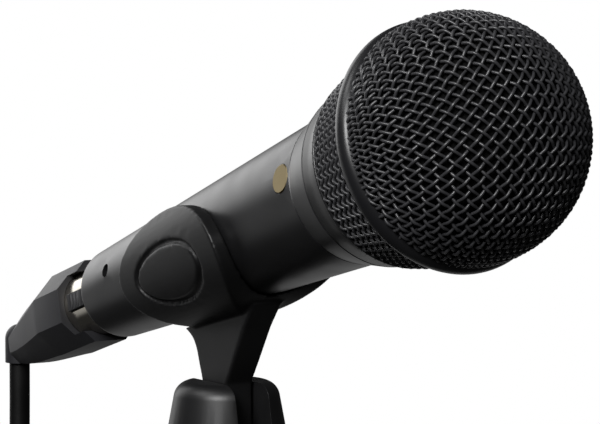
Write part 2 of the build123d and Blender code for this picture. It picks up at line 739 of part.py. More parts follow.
def neck_taper(under):
    """The neck's shape seen from the end: parallel in the base's slot, and thicker towards the cradle."""
    top = under + NECK_ROOT
    corners = [
        (-LUG_HALF_WIDTH, 0),
        (LUG_HALF_WIDTH, 0),
        (LUG_HALF_WIDTH, BASE_HEIGHT + OVERCUT),
        (NECK_HALF_WIDTH, under),
        (NECK_HALF_WIDTH, top),
        (-NECK_HALF_WIDTH, top),
        (-NECK_HALF_WIDTH, under),
        (-LUG_HALF_WIDTH, BASE_HEIGHT + OVERCUT),
    ]
    return extrude(Plane.YZ * make_face(Polyline(*corners, close=True)), 2 * LONG_CUT, both=True)


def swivel_base():
    seat = INSERT_BODY_RADIUS + FIT_GAP
    flange = INSERT_FLANGE_RADIUS + FIT_GAP
    body = turned(
        (flange, 0),
        (BASE_RADIUS, 0),
        (BASE_RADIUS, BASE_SHOULDER),
        (BASE_TOP_RADIUS, BASE_HEIGHT),
        (0, BASE_HEIGHT),
        (0, THREAD_LENGTH),
        (seat, THREAD_LENGTH),
        (seat, INSERT_FLANGE_LENGTH),
        (flange, INSERT_FLANGE_LENGTH),
    )
    top = body.edges().filter_by(GeomType.CIRCLE).group_by(Axis.Z)[-1]
    body = fillet(top, BASE_ROUND)
    foot = body.edges().filter_by(GeomType.CIRCLE).group_by(Axis.Z)[0].sort_by(SortBy.RADIUS)[-1]
    body = chamfer(foot, FOOT_CHAMFER)
    wide = BASE_RADIUS + OVERCUT
    body = body - slab((-wide, wide), (-SLOT_HALF, SLOT_HALF), (SLOT_FLOOR, BASE_HEIGHT + OVERCUT))
    body = body - cross_rod(BOLT_RADIUS + FIT_GAP, -wide, wide, 0, PIVOT_HEIGHT)
    for side in (-1, 1):
        near, far = sorted((side * CHEEK_SEAT, side * wide))
        body = body - cross_rod(CHEEK_POCKET_RADIUS, near, far, 0, PIVOT_HEIGHT)
    return body


def thread_insert():
    return turned(
        (THREAD_RADIUS, 0),
        (INSERT_FLANGE_RADIUS, 0),
        (INSERT_FLANGE_RADIUS, INSERT_FLANGE_LENGTH),
        (INSERT_BODY_RADIUS, INSERT_FLANGE_LENGTH),
        (INSERT_BODY_RADIUS, THREAD_LENGTH),
        (THREAD_RADIUS, THREAD_LENGTH),
    )


def pivot_bolt():
    head_start = -CHEEK_SEAT - BOLT_HEAD_LENGTH
    shank = cross_rod(BOLT_RADIUS, -CHEEK_SEAT, CHEEK_SEAT + BOLT_HEAD_LENGTH, 0, PIVOT_HEIGHT)
    head = cross_rod(BOLT_HEAD_RADIUS, head_start, -CHEEK_SEAT, 0, PIVOT_HEIGHT)
    head = head - cross_rod(BOLT_SOCKET_RADIUS, head_start - OVERCUT, head_start + BOLT_SOCKET_DEPTH, 0, PIVOT_HEIGHT)
    return shank + head


def pivot_nut():
    hexagon = RegularPolygon(NUT_ACROSS_FLATS / 2, 6, major_radius=False)
    nut = extrude(hexagon, BOLT_HEAD_LENGTH) - rod(BOLT_RADIUS + FIT_GAP, -OVERCUT, BOLT_HEAD_LENGTH + OVERCUT)
    return Pos(0, CHEEK_SEAT, PIVOT_HEIGHT) * Rot(-90, 0, 0) * nut


def pivot_washers():
    start = LUG_HALF_WIDTH + RUN_GAP
    washers = []
    for side in (-1, 1):
        near, far = sorted((side * start, side * (start + WASHER_THICKNESS)))
        disc = cross_rod(WASHER_RADIUS, near, far, 0, PIVOT_HEIGHT)
        washers.append(disc - cross_rod(BOLT_RADIUS + FIT_GAP, -LONG_CUT, LONG_CUT, 0, PIVOT_HEIGHT))
    return washers


# Lead ---------------------------------------------------------------------------------------------------


def corner_radii(points):
    """The largest arc that each corner's two runs allow."""
    radii = []
    for before, corner, after in zip(points, points[1:], points[2:]):
        first = Vector(*corner) - Vector(*before)
        second = Vector(*after) - Vector(*corner)
        half_turn = math.radians(first.get_angle(second)) / 2
        radii.append(0.45 * min(first.length, second.length) / math.tan(half_turn))
    return radii


def lead_tube(name, points):
    """A round cord along straight runs joined by tangent arcs."""
    radii = corner_radii(points)
    path = FilletPolyline(*points, radius=radii)
    start = Vector(*points[1]) - Vector(*points[0])
    section = Plane(origin=points[0], z_dir=start) * Circle(LEAD_RADIUS)
    cord = sweep(section, path=path)
    expected = math.pi * LEAD_RADIUS**2 * path.length
    print(name, "radii", [round(radius, 1) for radius in radii], "volume", round(cord.volume / expected, 4))
    return cord


def lead_coil():
    low, high = TABLE_LEVEL, TABLE_LEVEL + COIL_HEIGHT
    ring = turned(
        (COIL_INNER_RADIUS + COIL_ROUND, low),
        (COIL_OUTER_RADIUS - COIL_ROUND, low),
        (COIL_OUTER_RADIUS, low + COIL_ROUND),
        (COIL_OUTER_RADIUS, high - COIL_ROUND),
        (COIL_OUTER_RADIUS - COIL_ROUND, high),
        (COIL_INNER_RADIUS + COIL_ROUND, high),
        (COIL_INNER_RADIUS, high - COIL_ROUND),
        (COIL_INNER_RADIUS, low + COIL_ROUND),
    )
    return Pos(*COIL_CENTRE, 0) * ring


def coil_tie():
    """A hook-and-loop strap round the whole bundle of turns."""
    half = TIE_WIDTH / 2
    outer = slab(
        (COIL_INNER_RADIUS - TIE_THICKNESS, COIL_OUTER_RADIUS + TIE_THICKNESS),
        (-half, half),
        (TABLE_LEVEL, TABLE_LEVEL + COIL_HEIGHT + TIE_THICKNESS),
    )
    inner = slab(
        (COIL_INNER_RADIUS, COIL_OUTER_RADIUS),
        (-half - OVERCUT, half + OVERCUT),
        (TABLE_LEVEL + TIE_THICKNESS, TABLE_LEVEL + COIL_HEIGHT),
    )
    return Pos(*COIL_CENTRE, 0) * Rot(0, 0, TIE_ANGLE) * (outer - inner)


# Plug at the far end ------------------------------------------------------------------------------------

FAR_SHELL_START = FAR_BOOT_LENGTH
FAR_SHELL_END = FAR_SHELL_START + FAR_SHELL_LENGTH
FAR_FACE = FAR_SHELL_END - FAR_MOUTH_DEPTH


def far_plug_boot():
    bore = LEAD_RADIUS + LEAD_GAP
    collar = SOCKET_RADIUS - FIT_GAP
    return turned(
        (bore, 0),
        (FAR_BOOT_TIP_RADIUS, 0),
        (FAR_BOOT_RADIUS, FAR_BOOT_LENGTH - FAR_FLANGE_LENGTH),
        (FAR_FLANGE_RADIUS, FAR_BOOT_LENGTH - FAR_FLANGE_LENGTH),
        (FAR_FLANGE_RADIUS, FAR_BOOT_LENGTH),
        (collar, FAR_BOOT_LENGTH),
        (collar, FAR_BOOT_LENGTH + FAR_COLLAR_LENGTH),
        (bore, FAR_BOOT_LENGTH + FAR_COLLAR_LENGTH),
    )


def far_plug_shell():
    shell = tube(FAR_SHELL_RADIUS, SOCKET_RADIUS, FAR_SHELL_START, FAR_SHELL_END)
    rims = shell.edges().filter_by(GeomType.CIRCLE).group_by(SortBy.RADIUS)[-1]
    return chamfer(rims, SHELL_CHAMFER)


def far_plug_insert():
    insert = rod(SOCKET_RADIUS - FIT_GAP, FAR_FACE - FAR_INSERT_LENGTH, FAR_FACE)
    for x, y in pin_places():
        insert = insert - rod(PIN_RADIUS + FIT_GAP, FAR_FACE - LONG_CUT, FAR_FACE + OVERCUT, x, y)
    return insert


def far_plug_pins():
    pins = []
    for x, y in pin_places():
        pin = rod(PIN_RADIUS, FAR_FACE - FAR_INSERT_LENGTH - FAR_PIN_TAIL, FAR_FACE + PIN_LENGTH, x, y)
        tip = pin.edges().filter_by(GeomType.CIRCLE).group_by(Axis.Z)[-1]
        pins.append(fillet(tip, PIN_RADIUS * 0.6))
    return pins


def far_plug_chuck():
    """The split collet that grips the lead inside the far plug."""
    start = FAR_BOOT_LENGTH + FAR_COLLAR_LENGTH
    chuck = tube(FAR_CHUCK_RADIUS, LEAD_RADIUS + LEAD_GAP, start, start + FAR_CHUCK_LENGTH)
    half = FAR_CHUCK_SLIT / 2
    span = (start + FAR_CHUCK_RING, start + FAR_CHUCK_LENGTH + OVERCUT)
    slit = slab((0, FAR_CHUCK_RADIUS + OVERCUT), (-half, half), span)
    for index in range(FAR_CHUCK_SLITS):
        chuck = chuck - Rot(0, 0, 45 + 360 * index / FAR_CHUCK_SLITS) * slit
    return chuck


keep("grille_dome", grille_dome(), place=ON_MIC)
keep("grille_band", grille_band(), place=ON_MIC)
keep("grille_skirt", grille_skirt(), place=ON_MIC)
keep("grille_collar", grille_collar(), place=ON_MIC)
keep("foam_liner", foam_liner(), place=ON_MIC)
keep("lock_ring", lock_ring(), place=ON_MIC)
keep("handle", handle(), place=ON_MIC)
keep("badge", badge(), place=ON_MIC)
keep("tail_screw", tail_screw(), place=ON_MIC)
keep("xlr_insert", xlr_insert(), place=ON_MIC)
keep("xlr_pins", *xlr_pins(), place=ON_MIC)
keep("capsule_housing", capsule_housing(), place=ON_MIC)
keep("capsule_cap", capsule_cap(), place=ON_MIC)
keep("yoke", yoke(), place=ON_MIC)
keep("magnet", magnet(), place=ON_MIC)
keep("pole_piece", pole_piece(), place=ON_MIC)
keep("voice_coil", voice_coil(), place=ON_MIC)
keep("diaphragm", diaphragm(), place=ON_MIC)
keep("shock_mount", shock_mount(), place=ON_MIC)
keep("terminal_board", terminal_board(), place=ON_MIC)
keep("signal_wires", *signal_wires(), place=ON_MIC)
keep("plug_shell", plug_shell(), place=ON_MIC)
keep("plug_insert", plug_insert(), place=ON_MIC)
keep("plug_contacts", *plug_contacts(), place=ON_MIC)
keep("latch", latch(), place=ON_MIC)
keep("plug_housing", plug_housing())
keep("clip_cradle", clip_cradle())
keep("swivel_base", swivel_base())
keep("thread_insert", thread_insert())
keep("pivot_bolt", pivot_bolt())
keep("pivot_nut", pivot_nut())
keep("pivot_washers", *pivot_washers())
keep("lead_drop", lead_tube("lead_drop", [(LEAD_X, 0.0, DROP_START), *DROP_ROUTE]))
keep("lead_coil", lead_coil())
keep("lead_tail", lead_tube("lead_tail", TAIL_ROUTE))
keep("coil_tie", coil_tie())
keep("far_plug_boot", far_plug_boot(), place=ON_FAR_PLUG)
keep("far_plug_shell", far_plug_shell(), place=ON_FAR_PLUG)
keep("far_plug_insert", far_plug_insert(), place=ON_FAR_PLUG)
keep("far_plug_pins", *far_plug_pins(), place=ON_FAR_PLUG)
keep("far_plug_chuck", far_plug_chuck(), place=ON_FAR_PLUG)

os.makedirs("parts", exist_ok=True)
for name, shape in parts.items():
    export_step(shape, f"parts/{name}.step")
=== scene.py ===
"""Looks of a hand-held stage microphone that lies in a tilting stand clip with its lead plugged in.

Places are in metres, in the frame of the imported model: +Z up, +X towards the microphone's head, and
the origin at the centre of the stand thread's mouth. A station is a distance along a turned piece,
such as from the centre of the ball towards the tail. Sizes in the classes are in millimetres.
"""

import json
import logging
import math
from abc import ABC, abstractmethod
from collections.abc import Iterable, Sequence
from dataclasses import dataclass, field
from enum import Enum
from itertools import pairwise, product
from typing import Any

import bpy
from mathutils import Matrix, Vector

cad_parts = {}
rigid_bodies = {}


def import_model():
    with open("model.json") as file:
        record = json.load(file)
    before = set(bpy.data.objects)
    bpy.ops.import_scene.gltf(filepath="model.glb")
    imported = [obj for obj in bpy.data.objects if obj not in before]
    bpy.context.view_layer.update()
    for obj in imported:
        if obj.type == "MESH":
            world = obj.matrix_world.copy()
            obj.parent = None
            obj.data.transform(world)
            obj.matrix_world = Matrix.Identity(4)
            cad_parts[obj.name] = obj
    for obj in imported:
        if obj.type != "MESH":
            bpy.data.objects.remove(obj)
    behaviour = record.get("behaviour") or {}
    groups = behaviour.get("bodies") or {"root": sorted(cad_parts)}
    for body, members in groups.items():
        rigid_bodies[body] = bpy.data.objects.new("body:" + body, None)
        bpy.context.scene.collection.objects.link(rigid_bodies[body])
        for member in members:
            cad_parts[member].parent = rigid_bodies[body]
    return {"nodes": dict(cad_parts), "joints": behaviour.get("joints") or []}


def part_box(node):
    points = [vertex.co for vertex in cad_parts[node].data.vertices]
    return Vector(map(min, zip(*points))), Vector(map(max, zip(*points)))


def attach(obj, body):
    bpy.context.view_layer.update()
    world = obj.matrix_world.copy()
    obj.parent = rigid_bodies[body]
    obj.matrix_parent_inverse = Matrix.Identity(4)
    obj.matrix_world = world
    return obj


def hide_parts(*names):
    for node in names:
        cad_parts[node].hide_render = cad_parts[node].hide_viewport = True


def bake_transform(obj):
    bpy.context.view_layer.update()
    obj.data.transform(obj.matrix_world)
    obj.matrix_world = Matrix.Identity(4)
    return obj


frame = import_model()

log = logging.getLogger("microphone")

Piece = bpy.types.Object
Tree = bpy.types.NodeTree
Node = bpy.types.Node
Socket = bpy.types.NodeSocket
Corner = tuple[float, float]
Profile = Sequence[Corner]
Point = tuple[float, float, float]
Net = dict[tuple[int, int], Vector]
Inputs = dict[str | int, Any]

MM = 0.001
MERGE = 0.002 * MM  # corners nearer than this become one
FLAT_ANGLE = math.radians(0.6)  # faces that turn less than this become one
NOISE_RANGE = (0.3, 0.7)  # where nearly all of a noise pattern's values lie
WAVE_LENGTH = 0.314  # the length of a wave pattern at a scale of 1


class Body(Enum):
    """The rigid bodies that pieces ride on."""

    BASE = "base"
    CRADLE = "cradle"
    MICROPHONE = "microphone"
    GRILLE = "grille"
    MOVING_COIL = "moving_coil"
    PLUG = "plug"
    LATCH = "latch"


class Family(Enum):
    """The two sets of wires in a plain weave."""

    WARP = 1
    WEFT = -1


# --------------------------------------------------------------------------------------------- axis


@dataclass(frozen=True)
class Axis:
    """A turned piece's own frame: its Z runs along the piece.

    Attributes:
        origin: Where the frame's origin is.
        along: The direction of its Z.
        up: A direction on the side of its X.
    """

    origin: Vector
    along: Vector
    up: Vector

    @property
    def matrix(self) -> Matrix:
        """The matrix that takes the piece's own frame to the shared one."""
        z = self.along.normalized()
        y = z.cross(self.up).normalized()
        x = y.cross(z)
        turn = Matrix((x, y, z)).transposed().to_4x4()
        return Matrix.Translation(self.origin) @ turn


def microphone_axis() -> Axis:
    """The microphone's frame, read from its slide joint and from the ball's box.

    Returns:
        The axis with its origin at the ball's centre and its Z towards the tail.
    """
    slide = next(joint for joint in frame["joints"] if joint["name"] == "mic_slide")
    low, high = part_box("grille_dome")
    radius = (high.y - low.y) / 2
    centre = Vector((high.x - radius, (low.y + high.y) / 2, high.z - radius))
    return Axis(centre, -Vector(slide["axis"]), Vector((0, 0, 1)))


MIC = microphone_axis()
STAND = Axis(Vector((0, 0, 0)), Vector((0, 0, 1)), Vector((1, 0, 0)))


# -------------------------------------------------------------------------------------------- bench


def let_go() -> None:
    """Leave nothing selected."""
    if bpy.context.object and bpy.context.object.mode != "OBJECT":
        bpy.ops.object.mode_set(mode="OBJECT")
    bpy.ops.object.select_all(action="DESELECT")


def take(piece: Piece) -> None:
    """Make a piece the only one selected.

    Args:
        piece: The piece to work on.
    """
    let_go()
    piece.select_set(True)
    bpy.context.view_layer.objects.active = piece


def settle(piece: Piece, place: Matrix | None = None) -> None:
    """Move a piece to its place and put that place in its mesh.

    Args:
        piece: The piece to place.
        place: Its frame, or None where it was made in place.
    """
    take(piece)
    if place is not None:
        piece.matrix_world = place @ piece.matrix_world
    bpy.ops.object.transform_apply(location=True, rotation=True, scale=True)


def smooth(piece: Piece, angle: float = 35.0) -> None:
    """Shade a piece smooth, with its sharper edges kept.

    Args:
        piece: The piece to shade.
        angle: The least angle of a sharp edge, in degrees.
    """
    take(piece)
    bpy.ops.object.shade_smooth_by_angle(angle=math.radians(angle))


def turn_up(name: str, profile: Profile, sides: int = 128) -> Piece:
    """Turn a closed profile about Z, ring by ring.

    Args:
        name: The piece's name.
        profile: The (radius, station) corners in millimetres, in order round the section.
        sides: How many faces the piece has round it.

    Returns:
        The turned piece, standing on its own axis.
    """
    let_go()
    first_radius, first_station = profile[0]
    bpy.ops.mesh.primitive_circle_add(vertices=sides, radius=first_radius * MM)
    piece = bpy.context.object
    piece.name = name
    bpy.ops.object.mode_set(mode="EDIT")
    bpy.ops.mesh.select_all(action="SELECT")
    bpy.ops.transform.translate(value=(0, 0, first_station * MM))
    for (radius, station), (next_radius, next_station) in pairwise([*profile, profile[0]]):
        rise = {"value": (0, 0, (next_station - station) * MM)}
        bpy.ops.mesh.extrude_region_move(TRANSFORM_OT_translate=rise)
        share = next_radius / radius
        centre = (0, 0, next_station * MM)
        bpy.ops.transform.resize(value=(share, share, 1), center_override=centre)
    bpy.ops.mesh.select_all(action="SELECT")
    bpy.ops.mesh.remove_doubles(threshold=MERGE)
    bpy.ops.mesh.normals_make_consistent(inside=False)
    bpy.ops.object.mode_set(mode="OBJECT")
    return piece


def arc(centre: Corner, radius: float, start: float, end: float, steps: int) -> list[Corner]:
    """The corners of a round stretch of a profile.

    Args:
        centre: The arc's centre, as a radius and a station.
        radius: The arc's own radius.
        start: Where it starts, in degrees from the outward direction towards the tail.
        end: Where it ends.
        steps: How many faces it has.

    Returns:
        The corners, both ends among them.
    """
    turns = [math.radians(start + (end - start) * step / steps) for step in range(steps + 1)]
    return [(centre[0] + radius * math.cos(t), centre[1] + radius * math.sin(t)) for t in turns]


def lay_wires(name: str, runs: Iterable[Sequence[Vector]], radius: float, sides: int = 1) -> Piece:
    """Lay a round wire along each run of points, as one mesh.

    Args:
        name: The piece's name.
        runs: The centreline of each wire, in metres.
        radius: The wire's radius, in metres.
        sides: The curve's bevel resolution.

    Returns:
        The wires as a mesh.
    """
    curve = bpy.data.curves.new(name, "CURVE")
    curve.dimensions = "3D"
    curve.bevel_depth = radius
    curve.bevel_resolution = sides
    curve.use_fill_caps = True
    for run in runs:
        spline = curve.splines.new("POLY")
        spline.points.add(len(run) - 1)
        for point, place in zip(spline.points, run):
            point.co = (*place, 1)
    piece = bpy.data.objects.new(name, curve)
    bpy.context.collection.objects.link(piece)
    take(piece)
    bpy.ops.object.convert(target="MESH")
    piece = bpy.context.object
    bpy.ops.object.shade_smooth()
    return piece


def eased(node: str, name: str, width: float, angle: float = 32.0, segments: int = 3) -> Piece:
    """Copy a plain piece of the frame and round its edges, as its mould or polishing did.

    Args:
        node: The frame's node to copy.
        name: The new piece's name.
        width: The rounding's width, in millimetres.
        angle: The least angle of an edge that is rounded, in degrees.
        segments: How many faces the rounding has.

    Returns:
        The rounded copy, which stands for the node.
    """
    take(frame["nodes"][node])
    bpy.ops.object.duplicate()
    piece = bpy.context.object
    piece.name = name
    for key in list(piece.keys()):
        del piece[key]
    bpy.ops.object.parent_clear(type="CLEAR_KEEP_TRANSFORM")
    bpy.ops.mesh.customdata_custom_splitnormals_clear()
    bpy.ops.object.mode_set(mode="EDIT")
    bpy.ops.mesh.select_all(action="SELECT")
    bpy.ops.mesh.remove_doubles(threshold=MERGE)
    bpy.ops.mesh.mark_sharp(clear=True)
    bpy.ops.mesh.dissolve_limited(angle_limit=FLAT_ANGLE)
    bpy.ops.object.mode_set(mode="OBJECT")
    rounding = piece.modifiers.new("rounding", "BEVEL")
    rounding.width = width * MM
    rounding.segments = segments
    rounding.limit_method = "ANGLE"
    rounding.angle_limit = math.radians(angle)
    rounding.use_clamp_overlap = True
    rounding.harden_normals = False
    bpy.ops.object.modifier_apply(modifier=rounding.name)
    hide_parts(node)
    return piece


def finish_piece(
    piece: Piece, body: Body, finish: "Finish", replaces: Sequence[str] = ()
) -> None:
    """Dress a new piece, hang it on its body and report it.

    Args:
        piece: The piece, in its place.
        body: The body that it rides on.
        finish: Its finish.
        replaces: The frame's nodes that it stands for.
    """
    piece.data.materials.clear()
    piece.data.materials.append(finish.material())
    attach(piece, body.value)
    if replaces:
        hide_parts(*replaces)
    log.info("%s: %d faces, %s", piece.name, len(piece.data.polygons), finish.name)


# ----------------------------------------------------------------------------------------- finishes


def linear(code: str) -> tuple[float, float, float, float]:
    """Turn an sRGB hex colour to linear light.

    Args:
        code: The colour, as #rrggbb.

    Returns:
        The colour as linear red, green and blue, with full alpha.
    """
    shares = [int(code[at : at + 2], 16) / 255 for at in (1, 3, 5)]
    # the two pieces of the sRGB standard's own curve
    light = [
        share / 12.92 if share <= 0.04045 else ((share + 0.055) / 1.055) ** 2.4 for share in shares
    ]
    return (*light, 1.0)


def add(tree: Tree, kind: str, inputs: Inputs | None = None, **settings: Any) -> Node:
    """Add a shader node.

    Args:
        tree: The tree that it goes in.
        kind: The node's type.
        inputs: A value or another node's output for each input socket, by name or number.
        settings: The node's own properties.

    Returns:
        The node.
    """
    made = tree.nodes.new(kind)
    for name, value in settings.items():
        setattr(made, name, value)
    for socket, value in (inputs or {}).items():
        if isinstance(value, Socket):
            tree.links.new(value, made.inputs[socket])
        else:
            made.inputs[socket].default_value = value
    return made


@dataclass(frozen=True)
class Finish(ABC):
    """What a surface is made of and how it was made.

    Attributes:
        name: The material's common name.
        colour: Its main colour, in sRGB.
        roughness: How far it scatters a reflection, from 0 to 1.
        grain: The size of its surface grain, in millimetres.
        relief: How deep the grain is, in millimetres.
    """

    name: str
    colour: str
    roughness: float
    grain: float
    relief: float

    def material(self) -> bpy.types.Material:
        """The finish as a material, made the first time it is asked for.

        Returns:
            The material.
        """
        made = bpy.data.materials.get(self.name)
        if made is None:
            made = bpy.data.materials.new(self.name)
            made.use_nodes = True
            shader = made.node_tree.nodes["Principled BSDF"]
            shader.inputs["Base Color"].default_value = linear(self.colour)
            shader.inputs["Roughness"].default_value = self.roughness
            self.dress(made.node_tree, shader)
        return made

    @abstractmethod
    def dress(self, tree: Tree, shader: Node) -> None:
        """Give the shader this finish's own pattern.

        Args:
            tree: The material's nodes.
            shader: The surface shader.
        """

    def place(self, tree: Tree) -> Socket:
        """Where on the piece a point is, in the shared frame."""
        return add(tree, "ShaderNodeTexCoord").outputs["Object"]

    def lathe_place(self, tree: Tree, axis: Axis) -> Socket:
        """Where a point is in a turned piece's own frame.

        Args:
            tree: The material's nodes.
            axis: The frame, whose Z runs along the piece.

        Returns:
            The place in that frame.
        """
        turn = axis.matrix
        inputs: Inputs = {
            "Vector": self.place(tree),
            "Location": turn.to_translation(),
            "Rotation": turn.to_euler(),
        }
        return add(tree, "ShaderNodeMapping", inputs, vector_type="TEXTURE").outputs["Vector"]

    def speckle(self, tree: Tree, at: Socket, size: float, detail: float = 3.0) -> Socket:
        """A fine random pattern from 0 to 1.

        Args:
            tree: The material's nodes.
            at: Where the pattern is read.
            size: Its grain, in millimetres.
            detail: How many finer levels it has.

        Returns:
            The pattern's value.
        """
        inputs: Inputs = {"Vector": at, "Scale": 1 / (size * MM), "Detail": detail}
        return add(tree, "ShaderNodeTexNoise", inputs).outputs["Fac"]

    def emboss(self, tree: Tree, shader: Node, height: Socket, depth: float) -> None:
        """Raise the surface by a pattern.

        Args:
            tree: The material's nodes.
            shader: The surface shader.
            height: The pattern, from 0 to 1.
            depth: How high it stands, in millimetres.
        """
        bump = add(tree, "ShaderNodeBump", {"Height": height, "Distance": depth * MM})
        tree.links.new(bump.outputs["Normal"], shader.inputs["Normal"])

    def vary(self, tree: Tree, value: Socket, low: float, high: float) -> Socket:
        """Spread a pattern's middle range between two values.

        Args:
            tree: The material's nodes.
            value: The pattern, from 0 to 1.
            low: The value at its dark spots.
            high: The value at its bright spots.

        Returns:
            The spread value.
        """
        start, end = NOISE_RANGE
        spread: Inputs = {
            "Value": value, "From Min": start, "From Max": end, "To Min": low, "To Max": high
        }
        return add(tree, "ShaderNodeMapRange", spread).outputs["Result"]

    def tint(self, tree: Tree, shader: Node, value: Socket, other: str) -> None:
        """Blend the main colour towards another where a pattern is high.

        Args:
            tree: The material's nodes.
            shader: The surface shader.
            value: How much of the other colour shows.
            other: The other colour, in sRGB.
        """
        ends = {"A": linear(self.colour), "B": linear(other)}
        mix = add(tree, "ShaderNodeMix", {"Factor": value}, data_type="RGBA")
        for socket in mix.inputs:
            if socket.type == "RGBA" and socket.name in ends:
                socket.default_value = ends[socket.name]
        colour = next(socket for socket in mix.outputs if socket.type == "RGBA")
        tree.links.new(colour, shader.inputs["Base Color"])


@dataclass(frozen=True)
class SprayedPaint(Finish):
    """Satin enamel sprayed on metal: a tight, faint orange peel and a soft sheen.

    Attributes:
        cloud_grains: The size of its glossier patches, in grains.
        gloss_change: How much the roughness changes from patch to patch.
    """

    cloud_grains: float = 30.0
    gloss_change: float = 0.03

    def dress(self, tree: Tree, shader: Node) -> None:
        """Lay the orange peel and its uneven gloss."""
        at = self.place(tree)
        peel = self.speckle(tree, at, self.grain)
        cloud = self.speckle(tree, at, self.cloud_grains * self.grain, 1.0)
        low, high = self.roughness - self.gloss_change, self.roughness + self.gloss_change
        tree.links.new(self.vary(tree, cloud, low, high), shader.inputs["Roughness"])
        self.emboss(tree, shader, peel, self.relief)


@dataclass(frozen=True)
class MouldedPlastic(Finish):
    """Plastic from a spark-eroded mould: an even matt grain, with slightly cloudy colour.

    Attributes:
        cloud: The colour of its paler patches, in sRGB.
        cloud_grains: The size of those patches, in grains.
        cloud_share: How much of their colour shows.
    """

    cloud: str = "#2a2a2c"
    cloud_grains: float = 40.0
    cloud_share: float = 0.35

    def dress(self, tree: Tree, shader: Node) -> None:
        """Lay the mould's grain and the colour's faint clouds."""
        at = self.place(tree)
        clouds = self.speckle(tree, at, self.cloud_grains * self.grain, 2.0)
        self.tint(tree, shader, self.vary(tree, clouds, 0.0, self.cloud_share), self.cloud)
        self.emboss(tree, shader, self.speckle(tree, at, self.grain), self.relief)


@dataclass(frozen=True)
class PlatedMetal(Finish):
    """Turned and plated metal: clear reflections, drawn out by the lathe's fine rings.

    Attributes:
        turned_along: The frame whose Z the rings go round.
        stain: The colour of its faint tarnish, in sRGB.
        stain_size: The size of the tarnish's patches, in millimetres.
        stain_share: How much of the tarnish shows.
    """

    turned_along: Axis = MIC
    stain: str = "#8d8676"
    stain_size: float = 6.0
    stain_share: float = 0.4

    def dress(self, tree: Tree, shader: Node) -> None:
        """Lay the lathe's rings and a faint tarnish."""
        shader.inputs["Metallic"].default_value = 1.0
        own = self.lathe_place(tree, self.turned_along)
        split = add(tree, "ShaderNodeSeparateXYZ", {"Vector": own})
        inputs: Inputs = {"W": split.outputs["Z"], "Scale": 1 / (self.grain * MM), "Detail": 2.0}
        rings = add(tree, "ShaderNodeTexNoise", inputs, noise_dimensions="1D")
        patches = self.speckle(tree, self.place(tree), self.stain_size)
        self.tint(tree, shader, self.vary(tree, patches, 0.0, self.stain_share), self.stain)
        self.emboss(tree, shader, rings.outputs["Fac"], self.relief)


@dataclass(frozen=True)
class Elastomer(Finish):
    """Rubber or soft vinyl: dull, slightly mottled, with a fine powdery skin.

    Attributes:
        mottle_grains: The size of its duller patches, in grains.
        gloss_change: How much the roughness changes from patch to patch.
        gloss: How strongly it reflects.
    """

    mottle_grains: float = 12.0
    gloss_change: float = 0.06
    gloss: float = 0.3

    def dress(self, tree: Tree, shader: Node) -> None:
        """Lay the skin's mottling."""
        at = self.place(tree)
        mottle = self.speckle(tree, at, self.mottle_grains * self.grain, 2.0)
        low, high = self.roughness - self.gloss_change, self.roughness + self.gloss_change
        tree.links.new(self.vary(tree, mottle, low, high), shader.inputs["Roughness"])
        shader.inputs["Specular IOR Level"].default_value = self.gloss
        self.emboss(tree, shader, self.speckle(tree, at, self.grain), self.relief)


@dataclass(frozen=True)
class OpenFoam(Finish):
    """Open-cell foam: dark pits in a lattice of dull black struts; the pits are darker by painted shade.

    Attributes:
        strut: The colour of its struts, in sRGB; the pits keep the darker main colour, which is painted shade.
        gloss: How strongly it reflects.
    """

    strut: str = "#0d0d0d"
    gloss: float = 0.1

    def dress(self, tree: Tree, shader: Node) -> None:
        """Lay the cells, with painted shade in their pits."""
        inputs: Inputs = {"Vector": self.place(tree), "Scale": 1 / (self.grain * MM)}
        cells = add(tree, "ShaderNodeTexVoronoi", inputs).outputs["Distance"]
        shader.inputs["Specular IOR Level"].default_value = self.gloss
        # the darker main colour fills the pits as painted shade; the struts take the strut colour
        self.tint(tree, shader, cells, self.strut)
        self.emboss(tree, shader, cells, self.relief)


@dataclass(frozen=True)
class WovenTape(Finish):
    """Hook-and-loop tape: a low mat of nylon loops on a woven ground.

    Attributes:
        tip: The colour of the loops' tips, in sRGB.
        fuzz_grains: The size of the fuzz on the loops, in grains.
        sheen: How much sheen the loops have.
        sheen_roughness: How broad that sheen is.
    """

    tip: str = "#3a3a3e"
    fuzz_grains: float = 0.4
    sheen: float = 0.5
    sheen_roughness: float = 0.4

    def dress(self, tree: Tree, shader: Node) -> None:
        """Lay the loops and the sheen on them."""
        at = self.place(tree)
        inputs: Inputs = {"Vector": at, "Scale": 1 / (self.grain * MM)}
        loops = add(tree, "ShaderNodeTexVoronoi", inputs, feature="DISTANCE_TO_EDGE")
        fuzz = self.speckle(tree, at, self.fuzz_grains * self.grain, 4.0)
        self.tint(tree, shader, self.vary(tree, fuzz, 0.0, 1.0), self.tip)
        shader.inputs["Sheen Weight"].default_value = self.sheen
        shader.inputs["Sheen Roughness"].default_value = self.sheen_roughness
        self.emboss(tree, shader, loops.outputs["Distance"], self.relief)


@dataclass(frozen=True)
class WoundWire(Finish):
    """Enamelled copper wire wound in even turns round the microphone's axis.

    Attributes:
        metal: How metallic it is under its enamel.
        groove: The colour between its turns, in sRGB, a darker colour that is painted shade in the creases.
    """

    metal: float = 0.7
    groove: str = "#7c4021"

    def dress(self, tree: Tree, shader: Node) -> None:
        """Lay the turns as rings, one wire apart, with painted shade between them."""
        shader.inputs["Metallic"].default_value = self.metal
        inputs: Inputs = {
            "Vector": self.lathe_place(tree, MIC),
            "Scale": WAVE_LENGTH / (self.grain * MM),
            "Distortion": 0.0,
        }
        turns = add(tree, "ShaderNodeTexWave", inputs, bands_direction="Z").outputs["Fac"]
        # the darker groove colour between the turns is painted shade
        self.tint(tree, shader, turns, self.groove)
        self.emboss(tree, shader, turns, self.relief)


